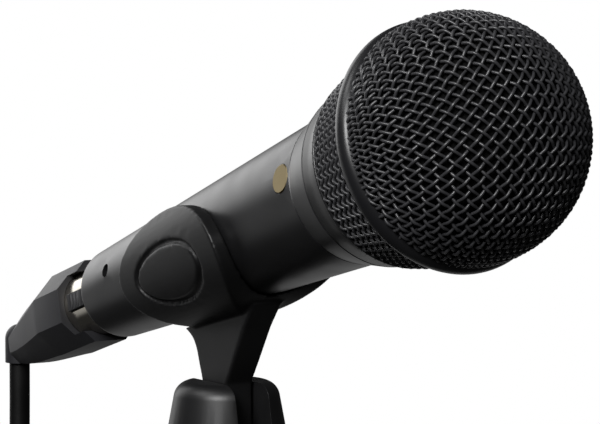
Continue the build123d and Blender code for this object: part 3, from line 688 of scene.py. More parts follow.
@dataclass(frozen=True)
class ClearFilm(Finish):
    """Polyester film: thin, clear and slightly golden.

    Attributes:
        clear: How much light goes through it.
        index: Its index of refraction.
    """

    clear: float = 0.6
    index: float = 1.6

    def dress(self, tree: Tree, shader: Node) -> None:
        """Let light through the film and ripple it faintly."""
        shader.inputs["Transmission Weight"].default_value = self.clear
        shader.inputs["IOR"].default_value = self.index
        self.emboss(tree, shader, self.speckle(tree, self.place(tree), self.grain), self.relief)


# Each comment says what the finish gives the eye. A grain called coarser is finer on the real thing
# than a view can show, so it is drawn at a size that still breaks up a highlight.

# handle, lock ring and collar: one broad soft highlight, its edge a little uneven
SATIN_PAINT = SprayedPaint("satin_enamel_paint", "#1a1a1b", 0.33, 0.35, 0.004)
# the weave: a small soft glint on each crossing, over a grey paler than the other black paints, partly the
# coating's own dark grey and partly painted light on the dome; its grain is drawn coarser
COATED_WIRE = SprayedPaint("powder_coated_steel_wire", "#343436", 0.35, 0.2, 0.01)
# the band: a thin bright line along its crest
BAND_PAINT = SprayedPaint("satin_enamel_on_spun_band", "#19191b", 0.34, 0.3, 0.004)
# the cradle: deep black with a dull, wide sheen; the mould's grain is drawn coarser
CLIP_NYLON = MouldedPlastic("fine_grained_nylon", "#0a0a0b", 0.48, 0.25, 0.012, "#171718")
# the base: a shade paler and a shade glossier than the cradle; its grain is drawn coarser too
BASE_ABS = MouldedPlastic("moulded_abs", "#111112", 0.42, 0.3, 0.008, "#1c1c1d")
# the plug's housing: greyer and rougher, as glass fibres leave it
HOUSING_NYLON = MouldedPlastic("glass_filled_nylon", "#232326", 0.5, 0.4, 0.018, "#303033")
# the connectors' insides and the latch: plain black, slightly shiny
INSERT_PLASTIC = MouldedPlastic("moulded_polyamide_insert", "#1b1b1d", 0.45, 0.3, 0.008)
# washers and chuck: a waxy off-white
NYLON = MouldedPlastic("natural_nylon", "#cdc9b8", 0.4, 0.4, 0.01, "#bdb8a4")
# the terminal board: a faintly cloudy green lacquer
BOARD = MouldedPlastic("glass_epoxy_board", "#1f5a33", 0.35, 0.3, 0.01, "#2f7145")
# plug shells, cap and magnet: warm white mirror streaks round the turning; the lathe's rings are drawn coarser
NICKEL = PlatedMetal("nickel_plated_brass", "#cfcabf", 0.17, 0.18, 0.002)
# contacts: small yellow glints
GOLD = PlatedMetal("gold_plated_brass", "#d8b56a", 0.2, 0.2, 0.002, stain="#a3813f")
# the badge: pale gold with a matt, even shine; its rings are drawn coarser
ANODISED = PlatedMetal(
    "champagne_anodised_aluminium", "#988862", 0.36, 0.12, 0.002, stain="#857650"
)
# pivot bolt and nut, yoke and pole piece: a cool grey, less sharp than nickel
STEEL = PlatedMetal("zinc_plated_steel", "#a9a9a6", 0.3, 0.3, 0.004, stain="#83837e")
# the tail screw: nearly black, with a metal's sharp edge of light
DARK_STEEL = PlatedMetal("blackened_steel", "#2b2b2c", 0.4, 0.3, 0.004, stain="#202021")
# the stand thread's insert: yellow, ringed round the stand's own axis
BRASS = PlatedMetal("turned_brass", "#c39a4e", 0.24, 0.15, 0.003, STAND, "#9c7a38")
# boot and shock mount: dull black that hardly reflects
RUBBER = Elastomer("moulded_rubber", "#1a1a1a", 0.62, 0.3, 0.01)
# the lead: black with a faint, broad line of light along it; its skin's grain is drawn coarser
JACKET = Elastomer("matt_vinyl_jacket", "#080808", 0.5, 0.5, 0.02)
# the signal wires: a dark, slightly shiny red
WIRE_JACKET = Elastomer("red_wire_insulation", "#8c2222", 0.45, 0.3, 0.008)
# behind the weave: near black that swallows the light, pitted by its cells, with painted shade in the pits
FOAM = OpenFoam("open_cell_foam", "#060606", 0.95, 0.7, 0.25)
# the strap: soft dark grey with a pale bloom at a low angle; the loops are drawn coarser
TAPE = WovenTape("hook_and_loop_tape", "#1d1d20", 0.85, 0.45, 0.15)
# the voice coil: copper rings with painted shade between them; the wire is drawn coarser
WINDING = WoundWire("enamelled_copper_winding", "#b4693a", 0.3, 0.12, 0.03)
# the diaphragm: clear, with a golden cast and a slow ripple
FILM = ClearFilm("clear_polyester_film", "#d8cfae", 0.12, 1.5, 0.01)


# ------------------------------------------------------------------------------------------- pieces


@dataclass
class Grille:
    """The ball grille: a woven dome and skirt, the band between them and the collar.

    Attributes:
        dome_radius: Outside the dome's wires.
        wire: The wires' radius.
        pitch: Between neighbouring wires.
        lean: The turn of the dome's warp from the upright plane, in degrees.
        dome_edge: The station where the dome goes under the band.
        band_start: The station of the band's front edge.
        band_end: The station of the band's rear edge.
        band_radius: Outside the band.
        band_depth: From the skirt's front edge in to the band's inside.
        band_crown: How far the bead's round part stands out.
        band_lip: How far the band's inner corners are set in.
        tuck: How far the skirt's wires reach under the band and the collar.
        skirt_end: The station of the skirt's rear edge.
        skirt_radii: Outside the skirt at its front and rear edges.
        skirt_wires: Wires of each family round the skirt.
        collar_end: The station of the collar's rear edge.
        collar_radius: Outside the collar there.
        collar_bore: The collar's inner radius.
        collar_lip: The radius of its front lip.
        collar_wall: Its thickness at its front.
        collar_step: How far behind its front its bore starts.
        collar_ease: How far it reaches over the skirt, and the size of its rear chamfer.
        steps: How many faces a wire has between two crossings.
        foam_gap: Between the foam and the wires.
        foam_thickness: The foam's thickness.
        foam_lump: How far the foam's skin stands in or out.
        foam_draw: How far the foam draws in under the band.
        pole: The angle at which the foam's profile meets the axis, just short of it, in degrees.
    """

    dome_radius: float = 26.5
    wire: float = 0.34
    pitch: float = 2.0
    lean: float = 42.0
    dome_edge: float = 3.1
    band_start: float = 2.5
    band_end: float = 7.2
    band_radius: float = 27.0
    band_depth: float = 1.4
    band_crown: float = 1.9
    band_lip: float = 0.4
    tuck: float = 0.5
    skirt_end: float = 22.2
    skirt_radii: tuple[float, float] = (25.6, 22.1)
    skirt_wires: int = 60
    collar_end: float = 29.7
    collar_radius: float = 20.2
    collar_bore: float = 16.45
    collar_lip: float = 0.4
    collar_wall: float = 1.6
    collar_step: float = 2.1
    collar_ease: float = 0.3
    steps: int = 4
    foam_gap: float = 0.3
    foam_thickness: float = 2.4
    foam_lump: float = 0.1
    foam_draw: float = 0.6
    pole: float = -89.9985

    def build(self) -> None:
        """Make the grille's pieces."""
        self.dome()
        self.skirt()
        self.band()
        self.collar()
        self.foam()

    def net(self, ball: float) -> Net:
        """Where the dome's wires cross: a square net pressed onto the ball keeps its cells' sides.

        Args:
            ball: The radius that the crossings lie on, in millimetres.

        Returns:
            The unit direction of each crossing, by its warp and weft numbers.
        """
        step = 2 * math.asin(self.pitch / (2 * ball))
        reach = math.ceil(0.55 * math.pi / step)
        lean = math.radians(self.lean)
        pole = Vector((0, 0, -1))
        ways = (
            Vector((math.cos(lean), math.sin(lean), 0)),
            Vector((-math.sin(lean), math.cos(lean), 0)),
        )
        found = {(0, 0): pole}
        for count in range(1, reach + 1):
            turn = count * step
            for sign in (-1, 1):
                found[sign * count, 0] = math.cos(turn) * pole + sign * math.sin(turn) * ways[0]
                found[0, sign * count] = math.cos(turn) * pole + sign * math.sin(turn) * ways[1]
        cells = product(range(1, reach + 1), range(1, reach + 1), (-1, 1), (-1, 1))
        for warp, weft, one, two in cells:
            before = found[one * (warp - 1), two * (weft - 1)]
            beside = found[one * (warp - 1), two * weft]
            across = found[one * warp, two * (weft - 1)]
            mirror = beside.cross(across).normalized()
            found[one * warp, two * weft] = before - 2 * before.dot(mirror) * mirror
        return found

    def dome_run(self, net: Net, family: Family, lane: int, ball: float) -> list[Vector]:
        """One wire of the dome, from edge to edge.

        Args:
            net: The crossings.
            family: Whether it is a warp or a weft wire.
            lane: Its number.
            ball: The radius that the crossings lie on, in millimetres.

        Returns:
            The wire's centreline in metres, or an empty list if it misses the dome.
        """
        reach = max(index for index, _ in net)
        along = range(-reach, reach + 1)
        spots = [net[(at, lane) if family is Family.WARP else (lane, at)] for at in along]
        halves: list[list[Vector]] = []
        for way in (1, -1):
            run: list[Vector] = []
            for count in range(reach * self.steps):
                at = reach + way * count / self.steps
                cell = min(math.floor(at), 2 * reach - 1)
                spot = spots[cell].lerp(spots[cell + 1], at - cell).normalized()
                if spot.z * ball > self.dome_edge:
                    break
                crossing = at - reach + lane
                wave = family.value * math.cos(math.pi * crossing)
                run.append(spot * (ball + wave * self.wire) * MM)
            halves.append(run)
        return [*reversed(halves[1]), *halves[0][1:]]

    def dome(self) -> None:
        """Weave the dome."""
        ball = self.dome_radius - 2 * self.wire
        net = self.net(ball)
        reach = max(index for index, _ in net)
        lanes = range(-reach, reach + 1)
        runs = [self.dome_run(net, family, lane, ball) for family in Family for lane in lanes]
        kept = [run for run in runs if len(run) > self.steps]
        piece = lay_wires("woven_dome", kept, self.wire * MM)
        settle(piece, MIC.matrix)
        finish_piece(piece, Body.GRILLE, COATED_WIRE, ["grille_dome"])

    def skirt_run(self, family: Family, lane: int) -> list[Vector]:
        """One wire of the skirt, a slanting line round the cone.

        Args:
            family: Which way it slants.
            lane: Its number round the cone.

        Returns:
            The wire's centreline in metres.
        """
        front, rear = self.skirt_radii
        length = self.skirt_end - self.band_end + 2 * self.tuck
        spacing = math.pi * (front + rear) / self.skirt_wires
        cells = round(length / (spacing / 2))
        run = []
        for count in range(cells * self.steps + 1):
            crossing = count / self.steps
            share = crossing / cells
            station = self.band_end - self.tuck + share * length
            radius = front + share * (rear - front) - 2 * self.wire
            wave = family.value * math.cos(math.pi * crossing)
            turn = 2 * math.pi * (lane + family.value * crossing / 2) / self.skirt_wires
            out = radius + wave * self.wire
            run.append(Vector((out * math.cos(turn), out * math.sin(turn), station)) * MM)
        return run

    def skirt(self) -> None:
        """Weave the skirt."""
        lanes = range(self.skirt_wires)
        runs = [self.skirt_run(family, lane) for family in Family for lane in lanes]
        piece = lay_wires("woven_skirt", runs, self.wire * MM)
        settle(piece, MIC.matrix)
        finish_piece(piece, Body.GRILLE, COATED_WIRE, ["grille_skirt"])

    def band(self) -> None:
        """Roll the band: a half-round bead that covers both woven edges."""
        low, high, crown, steps = self.band_start, self.band_end, self.band_crown, 20
        inner = self.skirt_radii[0] - self.band_depth
        bead = (high - low) / 2
        centre = self.band_radius - crown
        turns = [math.radians(-90 + 180 * step / steps) for step in range(steps + 1)]
        profile = [
            (inner, low + self.band_lip),
            *[(centre + crown * math.cos(t), low + bead + bead * math.sin(t)) for t in turns],
            (inner, high - self.band_lip),
        ]
        piece = turn_up("spun_band", profile, 160)
        smooth(piece)
        settle(piece, MIC.matrix)
        finish_piece(piece, Body.GRILLE, BAND_PAINT, ["grille_band"])

    def collar(self) -> None:
        """Turn the collar: a fine lip over the skirt's edge, then a straight taper."""
        lip, ease = self.collar_lip, self.collar_ease
        top = self.skirt_radii[1]
        start, end = self.skirt_end - ease, self.collar_end
        profile = [
            (top - self.collar_wall, start),
            *arc((top - lip, start + lip), lip, -90, 60, 8),
            (top - 0.6, start + 1.1),  # the foot of the step behind the lip
            (self.collar_radius, end - ease),
            (self.collar_radius - ease, end),
            (self.collar_bore, end),
            (self.collar_bore, start + self.collar_step),
            (top - self.collar_wall, start + self.collar_step),
        ]
        piece = turn_up("turned_collar", profile, 160)
        smooth(piece)
        settle(piece, MIC.matrix)
        finish_piece(piece, Body.GRILLE, SATIN_PAINT, ["grille_collar"])

    def foam(self) -> None:
        """Line the dome and the skirt with one open-celled shell, its skin lumpy from being cut."""
        outer = self.dome_radius - 4 * self.wire - self.foam_gap
        inner = outer - self.foam_thickness
        edge = math.degrees(math.asin(self.dome_edge / outer))
        rear = self.skirt_radii[1] - 4 * self.wire - self.foam_gap
        end = self.skirt_end - self.foam_gap
        profile = [
            *arc((0, 0), outer, self.pole, edge, 28),
            (outer - self.foam_draw, self.band_end),
            (rear, end),
            (rear - self.foam_thickness, end),
            (inner - self.foam_draw, self.band_end),
            *arc((0, 0), inner, edge, self.pole, 28),
        ]
        piece = turn_up("foam_lining", profile, 96)
        bpy.ops.object.mode_set(mode="EDIT")
        bpy.ops.mesh.select_all(action="SELECT")
        bpy.ops.mesh.delete_loose()
        bpy.ops.mesh.select_all(action="SELECT")
        bpy.ops.transform.vertex_random(
            offset=self.foam_lump * MM, normal=0.6, seed=4, wait_for_input=False
        )
        bpy.ops.mesh.normals_make_consistent(inside=False)
        smooth(piece, 60)
        settle(piece, MIC.matrix)
        finish_piece(piece, Body.GRILLE, FOAM, ["foam_liner"])


@dataclass
class Clip:
    """The tilting clip: the cradle with its ears and the base under it.

    Attributes:
        cradle_rounding: The rounding of the cradle's edges.
        base_rounding: The rounding of the base's edges.
        skin: The size of the faces that the cradle's softened skin is made of.
        passes: How many times that skin is smoothed.
        share: How much of the way to its neighbours' middle each pass moves a corner.
    """

    cradle_rounding: float = 0.5
    base_rounding: float = 0.45
    skin: float = 0.37
    passes: int = 9
    share: float = 0.5

    def build(self) -> None:
        """Round the moulded pieces' edges as their moulds do."""
        cradle = eased("clip_cradle", "moulded_cradle", self.cradle_rounding)
        self.soften(cradle)
        finish_piece(cradle, Body.CRADLE, CLIP_NYLON)
        base = eased("swivel_base", "moulded_base", self.base_rounding)
        smooth(base, 40)
        finish_piece(base, Body.BASE, BASE_ABS)

    def soften(self, piece: Piece) -> None:
        """Melt a moulding's inner corners into fillets.

        It is skinned with even faces, and those are smoothed.

        Args:
            piece: The moulding.
        """
        take(piece)
        skin = piece.modifiers.new("skin", "REMESH")
        skin.mode = "VOXEL"
        skin.voxel_size = self.skin * MM
        bpy.ops.object.modifier_apply(modifier=skin.name)
        melt = piece.modifiers.new("melt", "SMOOTH")
        melt.factor = self.share
        melt.iterations = self.passes
        bpy.ops.object.modifier_apply(modifier=melt.name)
        bpy.ops.object.shade_smooth()


@dataclass
class MicPlug:
    """The plug in the microphone's tail.

    Attributes:
        housing_rounding: The rounding of the housing's edges.
        latch_rounding: The rounding of the latch's edges.
    """

    housing_rounding: float = 1.4
    latch_rounding: float = 0.25

    def build(self) -> None:
        """Round the housing's and the latch's edges."""
        housing = eased("plug_housing", "moulded_housing", self.housing_rounding, 14, 5)
        smooth(housing, 45)
        finish_piece(housing, Body.PLUG, HOUSING_NYLON)
        latch = eased("latch", "latch_button", self.latch_rounding)
        smooth(latch, 40)
        finish_piece(latch, Body.LATCH, INSERT_PLASTIC)


@dataclass
class Lead:
    """The lead: it hangs from the plug, winds into a tied coil and ends in its far plug.

    Attributes:
        radius: The lead's radius.
        exit_height: The height where it leaves the plug's housing; not used.
        start_height: The height where it starts, inside the housing.
        drop: The points of its hanging stretch, as far as the coil.
        tail: The points from the coil to the far plug.
        coil_centre: The coil's middle.
        start_radius: Where the first turn starts.
        inner_radius: The tightest turn.
        outer_radius: The widest turn.
        end_radius: Where the last turn ends.
        step_down: The part of a turn in which it steps to or from the next layer.
        layers: The heights of the coil's layers, from the top.
        turns: How many turns the coil has.
        per_turn: How many points each turn has.
        length: The lead's whole length, in metres; not used.
    """

    radius: float = 3.0
    exit_height: float = 36.0
    start_height: float = 40.0
    drop: Sequence[Point] = (
        (-119.4, 0.0, -6.0),
        (-119.9, -3.0, -50.0),
        (-119.8, -11.0, -71.0),
        (-119.5, -26.0, -85.0),
        (-118.9, -44.0, -89.6),
    )
    tail: Sequence[Point] = (
        (-38.2, -32.0, -107.0),
        (-37.2, -19.5, -107.0),
        (-37.8, -6.0, -107.0),
        (-42.4, 6.2, -107.0),
        (-51.7, 15.5, -106.2),
        (-63.8, 20.5, -103.5),
        (-76.0, 20.5, -100.5),
    )
    coil_centre: tuple[float, float] = (-79.4, -38.0)
    start_radius: float = 40.0
    inner_radius: float = 24.0
    outer_radius: float = 42.0
    end_radius: float = 41.6
    step_down: float = 0.12
    layers: Sequence[float] = (-89.6, -95.4, -101.2, -107.0)
    turns: float = 13.0
    per_turn: int = 18
    length: float = 3.0

    def lead_x(self) -> float:
        """Where the lead hangs, under the housing's elbow.

        Returns:
            Its place along X, in millimetres.
        """
        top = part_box("lead_drop")[1].z
        spots = [vertex.co for vertex in frame["nodes"]["lead_drop"].data.vertices]
        near = [co for co in spots if co.z > top - MM]
        return sum(co.x for co in near) / len(near) / MM

    def coil(self) -> list[Point]:
        """The coil's points: each layer winds in or out and steps down where it ends.

        Returns:
            The points between the hanging stretch's last and the tail's first, in millimetres.
        """
        tight = self.inner_radius
        bounds = [self.start_radius, tight, self.outer_radius, tight, self.end_radius]
        spans = [abs(after - before) for before, after in pairwise(bounds)]
        pitch = sum(spans) / self.turns
        ends = [sum(spans[: index + 1]) / pitch for index in range(len(spans))]
        middle_x, middle_y = self.coil_centre
        start, finish = (
            math.atan2(y - middle_y, x - middle_x) for x, y, _ in (self.drop[-1], self.tail[0])
        )
        whole = round(self.turns - (finish - start) / (2 * math.pi))
        sweep = 2 * math.pi * whole + finish - start
        count = round(self.turns * self.per_turn)
        outside = 1 / math.cos(math.pi / self.per_turn)
        points = []
        for index in range(1, count):
            at = self.turns * index / count
            layer = next(number for number, end in enumerate(ends) if at <= end + 1e-9)
            begun = ends[layer - 1] if layer else 0.0
            share = (at - begun) / (ends[layer] - begun)
            radius = (bounds[layer] + share * (bounds[layer + 1] - bounds[layer])) * outside
            height = self.layers[layer]
            left, gone = (ends[layer] - at) / self.step_down, (at - begun) / self.step_down
            if layer < len(self.layers) - 1 and left < 1:
                height += (self.layers[layer + 1] - height) * (1 - left) / 2
            if layer and gone < 1:
                height += (self.layers[layer - 1] - height) * (1 - gone) / 2
            angle = start + sweep * index / count
            x, y = middle_x + radius * math.cos(angle), middle_y + radius * math.sin(angle)
            points.append((x, y, height))
        return points

    def route(self) -> list[Vector]:
        """The lead's whole route, in metres."""
        points = [(self.lead_x(), 0.0, self.start_height), *self.drop, *self.coil(), *self.tail]
        return [Vector(point) * MM for point in points]

    def centreline(self) -> list[Vector]:
        """Points along the smooth curve that follows the route.

        Returns:
            The points read from the curve, in metres.
        """
        route = self.route()
        curve = bpy.data.curves.new("lead_line", "CURVE")
        curve.dimensions = "3D"
        curve.resolution_u = 6
        spline = curve.splines.new("NURBS")
        spline.points.add(len(route) - 1)
        for point, place in zip(spline.points, route):
            point.co = (*place, 1)
        spline.order_u = 3
        spline.use_endpoint_u = True
        holder = bpy.data.objects.new("lead_line", curve)
        bpy.context.collection.objects.link(holder)
        graph = bpy.context.evaluated_depsgraph_get()
        line = bpy.data.meshes.new_from_object(holder.evaluated_get(graph))
        points = [vertex.co.copy() for vertex in line.vertices]
        bpy.data.objects.remove(holder)
        bpy.data.meshes.remove(line)
        return points

    def build(self) -> None:
        line = self.centreline()
        piece = lay_wires("lead", [line], self.radius * MM, 5)
        settle(piece)
        piece.data.materials.append(JACKET.material())
        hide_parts("lead_drop", "lead_coil", "lead_tail")
        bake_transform(piece)
        log.info("lead: %d faces, %s", len(piece.data.polygons), JACKET.name)


@dataclass
class Strap:
    """The hook-and-loop strap round the coil, its end pressed down on top.

    Attributes:
        centre: The coil's middle.
        angle: Where round the coil it is, in degrees.
        inner: The distance of its inner run from the coil's middle, at mid thickness.
        outer: The distance of its outer run.
        low: The height of its lower run.
        high: The height of its upper run.
        corner: The radius of its bends round the outermost turns.
        width: Its width.
        thickness: Its thickness.
        tab: The length of the end that overlaps on top.
        tab_corner: The radius of that end's corners.
        tab_shift: From the middle of the upper run to that end's middle.
        edge: The rounding of its edges.
    """

    centre: tuple[float, float] = (-79.4, -38.0)
    angle: float = -60.0
    inner: float = 20.4
    outer: float = 45.6
    low: float = -109.4
    high: float = -86.0
    corner: float = 3.6
    width: float = 14.0
    thickness: float = 1.1
    tab: float = 15.0
    tab_corner: float = 2.5
    tab_shift: float = 2.0
    edge: float = 0.3

    def place(self, out: float, height: float) -> Matrix:
        """The frame of a spot on the strap: X outwards from the coil, Y up, Z across the strap.

        Args:
            out: The distance from the coil's middle, in millimetres.
            height: The height, in millimetres.

        Returns:
            The frame.
        """
        turn = math.radians(self.angle)
        outwards = Vector((math.cos(turn), math.sin(turn), 0))
        across = outwards.cross(Vector((0, 0, 1)))
        spot = Vector((*self.centre, height)) + out * outwards
        frame_turn = Matrix((outwards, Vector((0, 0, 1)), across)).transposed().to_4x4()
        return Matrix.Translation(spot * MM) @ frame_turn

    def ribbon(self, name: str, size: tuple[float, float], corner: float) -> Piece:
        """A flat sheet with rounded corners, as the start of a run of strap.

        Args:
            name: Its name.
            size: Its sides, in millimetres.
            corner: The radius of its corners, in millimetres.

        Returns:
            The sheet, in edit mode with all of it selected.
        """
        let_go()
        bpy.ops.mesh.primitive_plane_add(size=MM)
        piece = bpy.context.object
        piece.name = name
        bpy.ops.object.mode_set(mode="EDIT")
        bpy.ops.mesh.select_all(action="SELECT")
        bpy.ops.transform.resize(value=(*size, 1), center_override=(0, 0, 0))
        bpy.ops.mesh.bevel(offset=corner * MM, segments=6, affect="VERTICES")
        bpy.ops.mesh.select_all(action="SELECT")
        return piece

    def soften(self, piece: Piece, wall: bool) -> None:
        """Give a run of strap its thickness and its soft edges.

        Args:
            piece: The run.
            wall: Whether it is a bare surface that still needs its thickness.
        """
        take(piece)
        if wall:
            thickness = piece.modifiers.new("thickness", "SOLIDIFY")
            thickness.thickness = self.thickness * MM
            thickness.offset = 0.0
            bpy.ops.object.modifier_apply(modifier=thickness.name)
        edges = piece.modifiers.new("edges", "BEVEL")
        edges.width = self.edge * MM
        edges.segments = 2
        edges.angle_limit = math.radians(50)
        bpy.ops.object.modifier_apply(modifier=edges.name)
        smooth(piece, 40)

    def build(self) -> None:
        """Wrap the strap round the coil and press its end down."""
        across = (0, 0, self.width * MM)
        loop = (self.outer - self.inner, self.high - self.low)
        piece = self.ribbon("coil_strap", loop, self.corner)
        bpy.ops.mesh.delete(type="ONLY_FACE")
        bpy.ops.mesh.select_all(action="SELECT")
        bpy.ops.mesh.extrude_region_move(TRANSFORM_OT_translate={"value": across})
        bpy.ops.mesh.select_all(action="SELECT")
        bpy.ops.transform.translate(value=(0, 0, -self.width / 2 * MM))
        bpy.ops.mesh.normals_make_consistent(inside=False)
        self.soften(piece, True)
        middle = (self.inner + self.outer) / 2
        settle(piece, self.place(middle, (self.low + self.high) / 2))
        tab = self.ribbon("strap_end", (self.tab, self.width), self.tab_corner)
        rise = (0, 0, self.thickness * MM)
        bpy.ops.mesh.extrude_region_move(TRANSFORM_OT_translate={"value": rise})
        bpy.ops.mesh.select_all(action="SELECT")
        bpy.ops.mesh.normals_make_consistent(inside=False)
        self.soften(tab, False)
        lay_flat = Matrix.Rotation(math.radians(-90), 4, "X")
        spot = self.place(middle - self.tab_shift, self.high + self.thickness / 2)
        settle(tab, spot @ lay_flat)
        take(piece)
        tab.select_set(True)
        bpy.ops.object.join()
        finish_piece(piece, Body.BASE, TAPE, ["coil_tie"])


@dataclass
class FarPlug:
    """The plug on the lead's far end: a ribbed boot and a turned shell.

    Attributes:
        bore: The hole for the lead.
        tip: The boot's radius where the lead enters it.
        neck: The boot's radius at its flange.
        ribs: How many ribs the boot has.
        groove: How deep the grooves between its ribs are.
        flange: The flange's radius.
        flange_start: How far along the flange starts.
        shell_start: How far along the shell starts.
        shell_end: How far along the shell's mouth is.
        shell_radius: Outside the shell.
        socket_radius: Inside the shell.
        spigot_end: How far the boot reaches inside the shell.
        edge: The rounding of a rib's, the flange's and the shell's edges.
        grip: How deep the shell's grip grooves are.
        nose: How far the shell's nose is set in.
    """

    bore: float = 3.05
    tip: float = 4.2
    neck: float = 7.2
    ribs: int = 6
    groove: float = 0.8
    flange: float = 9.2
    flange_start: float = 17.0
    shell_start: float = 20.0
    shell_end: float = 66.0
    shell_radius: float = 9.5
    socket_radius: float = 8.1
    spigot_end: float = 27.0
    edge: float = 0.3
    grip: float = 0.35
    nose: float = 0.45

    def axis(self) -> Axis:
        """The plug's frame, read from its boot's box.

        Returns:
            The axis, whose Z runs from the lead to the plug's mouth.
        """
        low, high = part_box("far_plug_boot")
        origin = Vector((high.x, (low.y + high.y) / 2, (low.z + high.z) / 2))
        return Axis(origin, Vector((-1, 0, 0)), Vector((0, 0, 1)))

    def build(self) -> None:
        """Turn the boot and the shell."""
        self.boot()
        self.shell()

    def boot(self) -> None:
        """Mould the boot: ribs that let it bend, then a flange against the shell."""
        step = self.flange_start / self.ribs
        ribs: list[Corner] = []
        for index in range(self.ribs):
            start = index * step
            crest = self.tip + (self.neck - self.tip) * (start + step) / self.flange_start
            ribs += [
                (crest - self.edge, start + 0.02),
                (crest, start + 0.4),
                (crest, start + 1.5),
                (crest - self.edge, start + 1.8),
            ]
            if index < self.ribs - 1:
                floor = crest - self.groove
                ribs += [(floor, start + 2.0), (floor, start + step - 0.1)]
        profile = [
            (self.bore, 0.02),
            *ribs,
            (self.flange - 0.4, self.flange_start),
            (self.flange, self.flange_start + 0.4),
            (self.flange, self.shell_start - self.edge),
            (self.flange - self.edge, self.shell_start),
            (self.socket_radius - 0.1, self.shell_start),
            (self.socket_radius - 0.1, self.spigot_end),
            (self.bore, self.spigot_end),
        ]
        piece = turn_up("ribbed_boot", profile, 64)
        smooth(piece, 40)
        settle(piece, self.axis().matrix)
        finish_piece(piece, Body.BASE, RUBBER, ["far_plug_boot"])

    def shell(self) -> None:
        """Turn the shell: two grip grooves, a stepped nose and a rounded mouth."""
        out, start, end = self.shell_radius, self.shell_start, self.shell_end
        deep, slim = out - self.grip, out - self.nose
        grooves: list[Corner] = []
        for at in (start + 3.0, start + 5.0):
            grooves += [(out, at), (deep, at + 0.25), (deep, at + 0.85), (out, at + 1.1)]
        profile = [
            (out - self.edge, start),
            (out, start + self.edge),
            *grooves,
            (out, end - 22.0),
            (slim, end - 21.4),
            (slim, end - 0.6),
            *arc((out - 1.0, end - 0.5), 0.5, 20, 160, 6),
            (self.socket_radius, end - 0.9),
            (self.socket_radius, start),
        ]
        piece = turn_up("turned_far_shell", profile, 96)
        smooth(piece, 30)
        settle(piece, self.axis().matrix)
        finish_piece(piece, Body.BASE, NICKEL, ["far_plug_shell"])


# --------------------------------------------------------------------------------------------- room


@dataclass(frozen=True)
class Glow:
    """A soft bright patch of the surroundings.

    Attributes:
        way: The patch's direction.
        span: The cosines from its middle at which it starts to show and is full.
        strength: How bright it is.
    """

    way: Point
    span: tuple[float, float]
    strength: float


GLOWS = (
    Glow((-0.93, -0.09, 0.32), (0.88, 0.985), 1.9),
    Glow((-0.98, 0.05, -0.05), (0.88, 0.99), 0.4),
    Glow((-0.86, -0.44, -0.28), (0.965, 0.995), 0.4),
    Glow((-0.70, 0.50, -0.50), (0.86, 0.98), 0.3),
)


@dataclass(frozen=True)
class Softbox:
    """A soft rectangular light that faces the microphone's head.

    Attributes:
        name: Its name.
        way: Its direction from the head.
        power: Its power, in watts.
        size: Its width and height, in metres.
        distance: How far from the head it hangs, in lengths of its direction.
    """

    name: str
    way: Point
    power: float
    size: tuple[float, float] = (0.6, 0.5)
    distance: float = 1.2


SOFTBOXES = (
    Softbox("key", (-0.25, -0.62, 0.78), 3.5),
    Softbox("front", (0.50, -0.78, 0.58), 20.0),
)


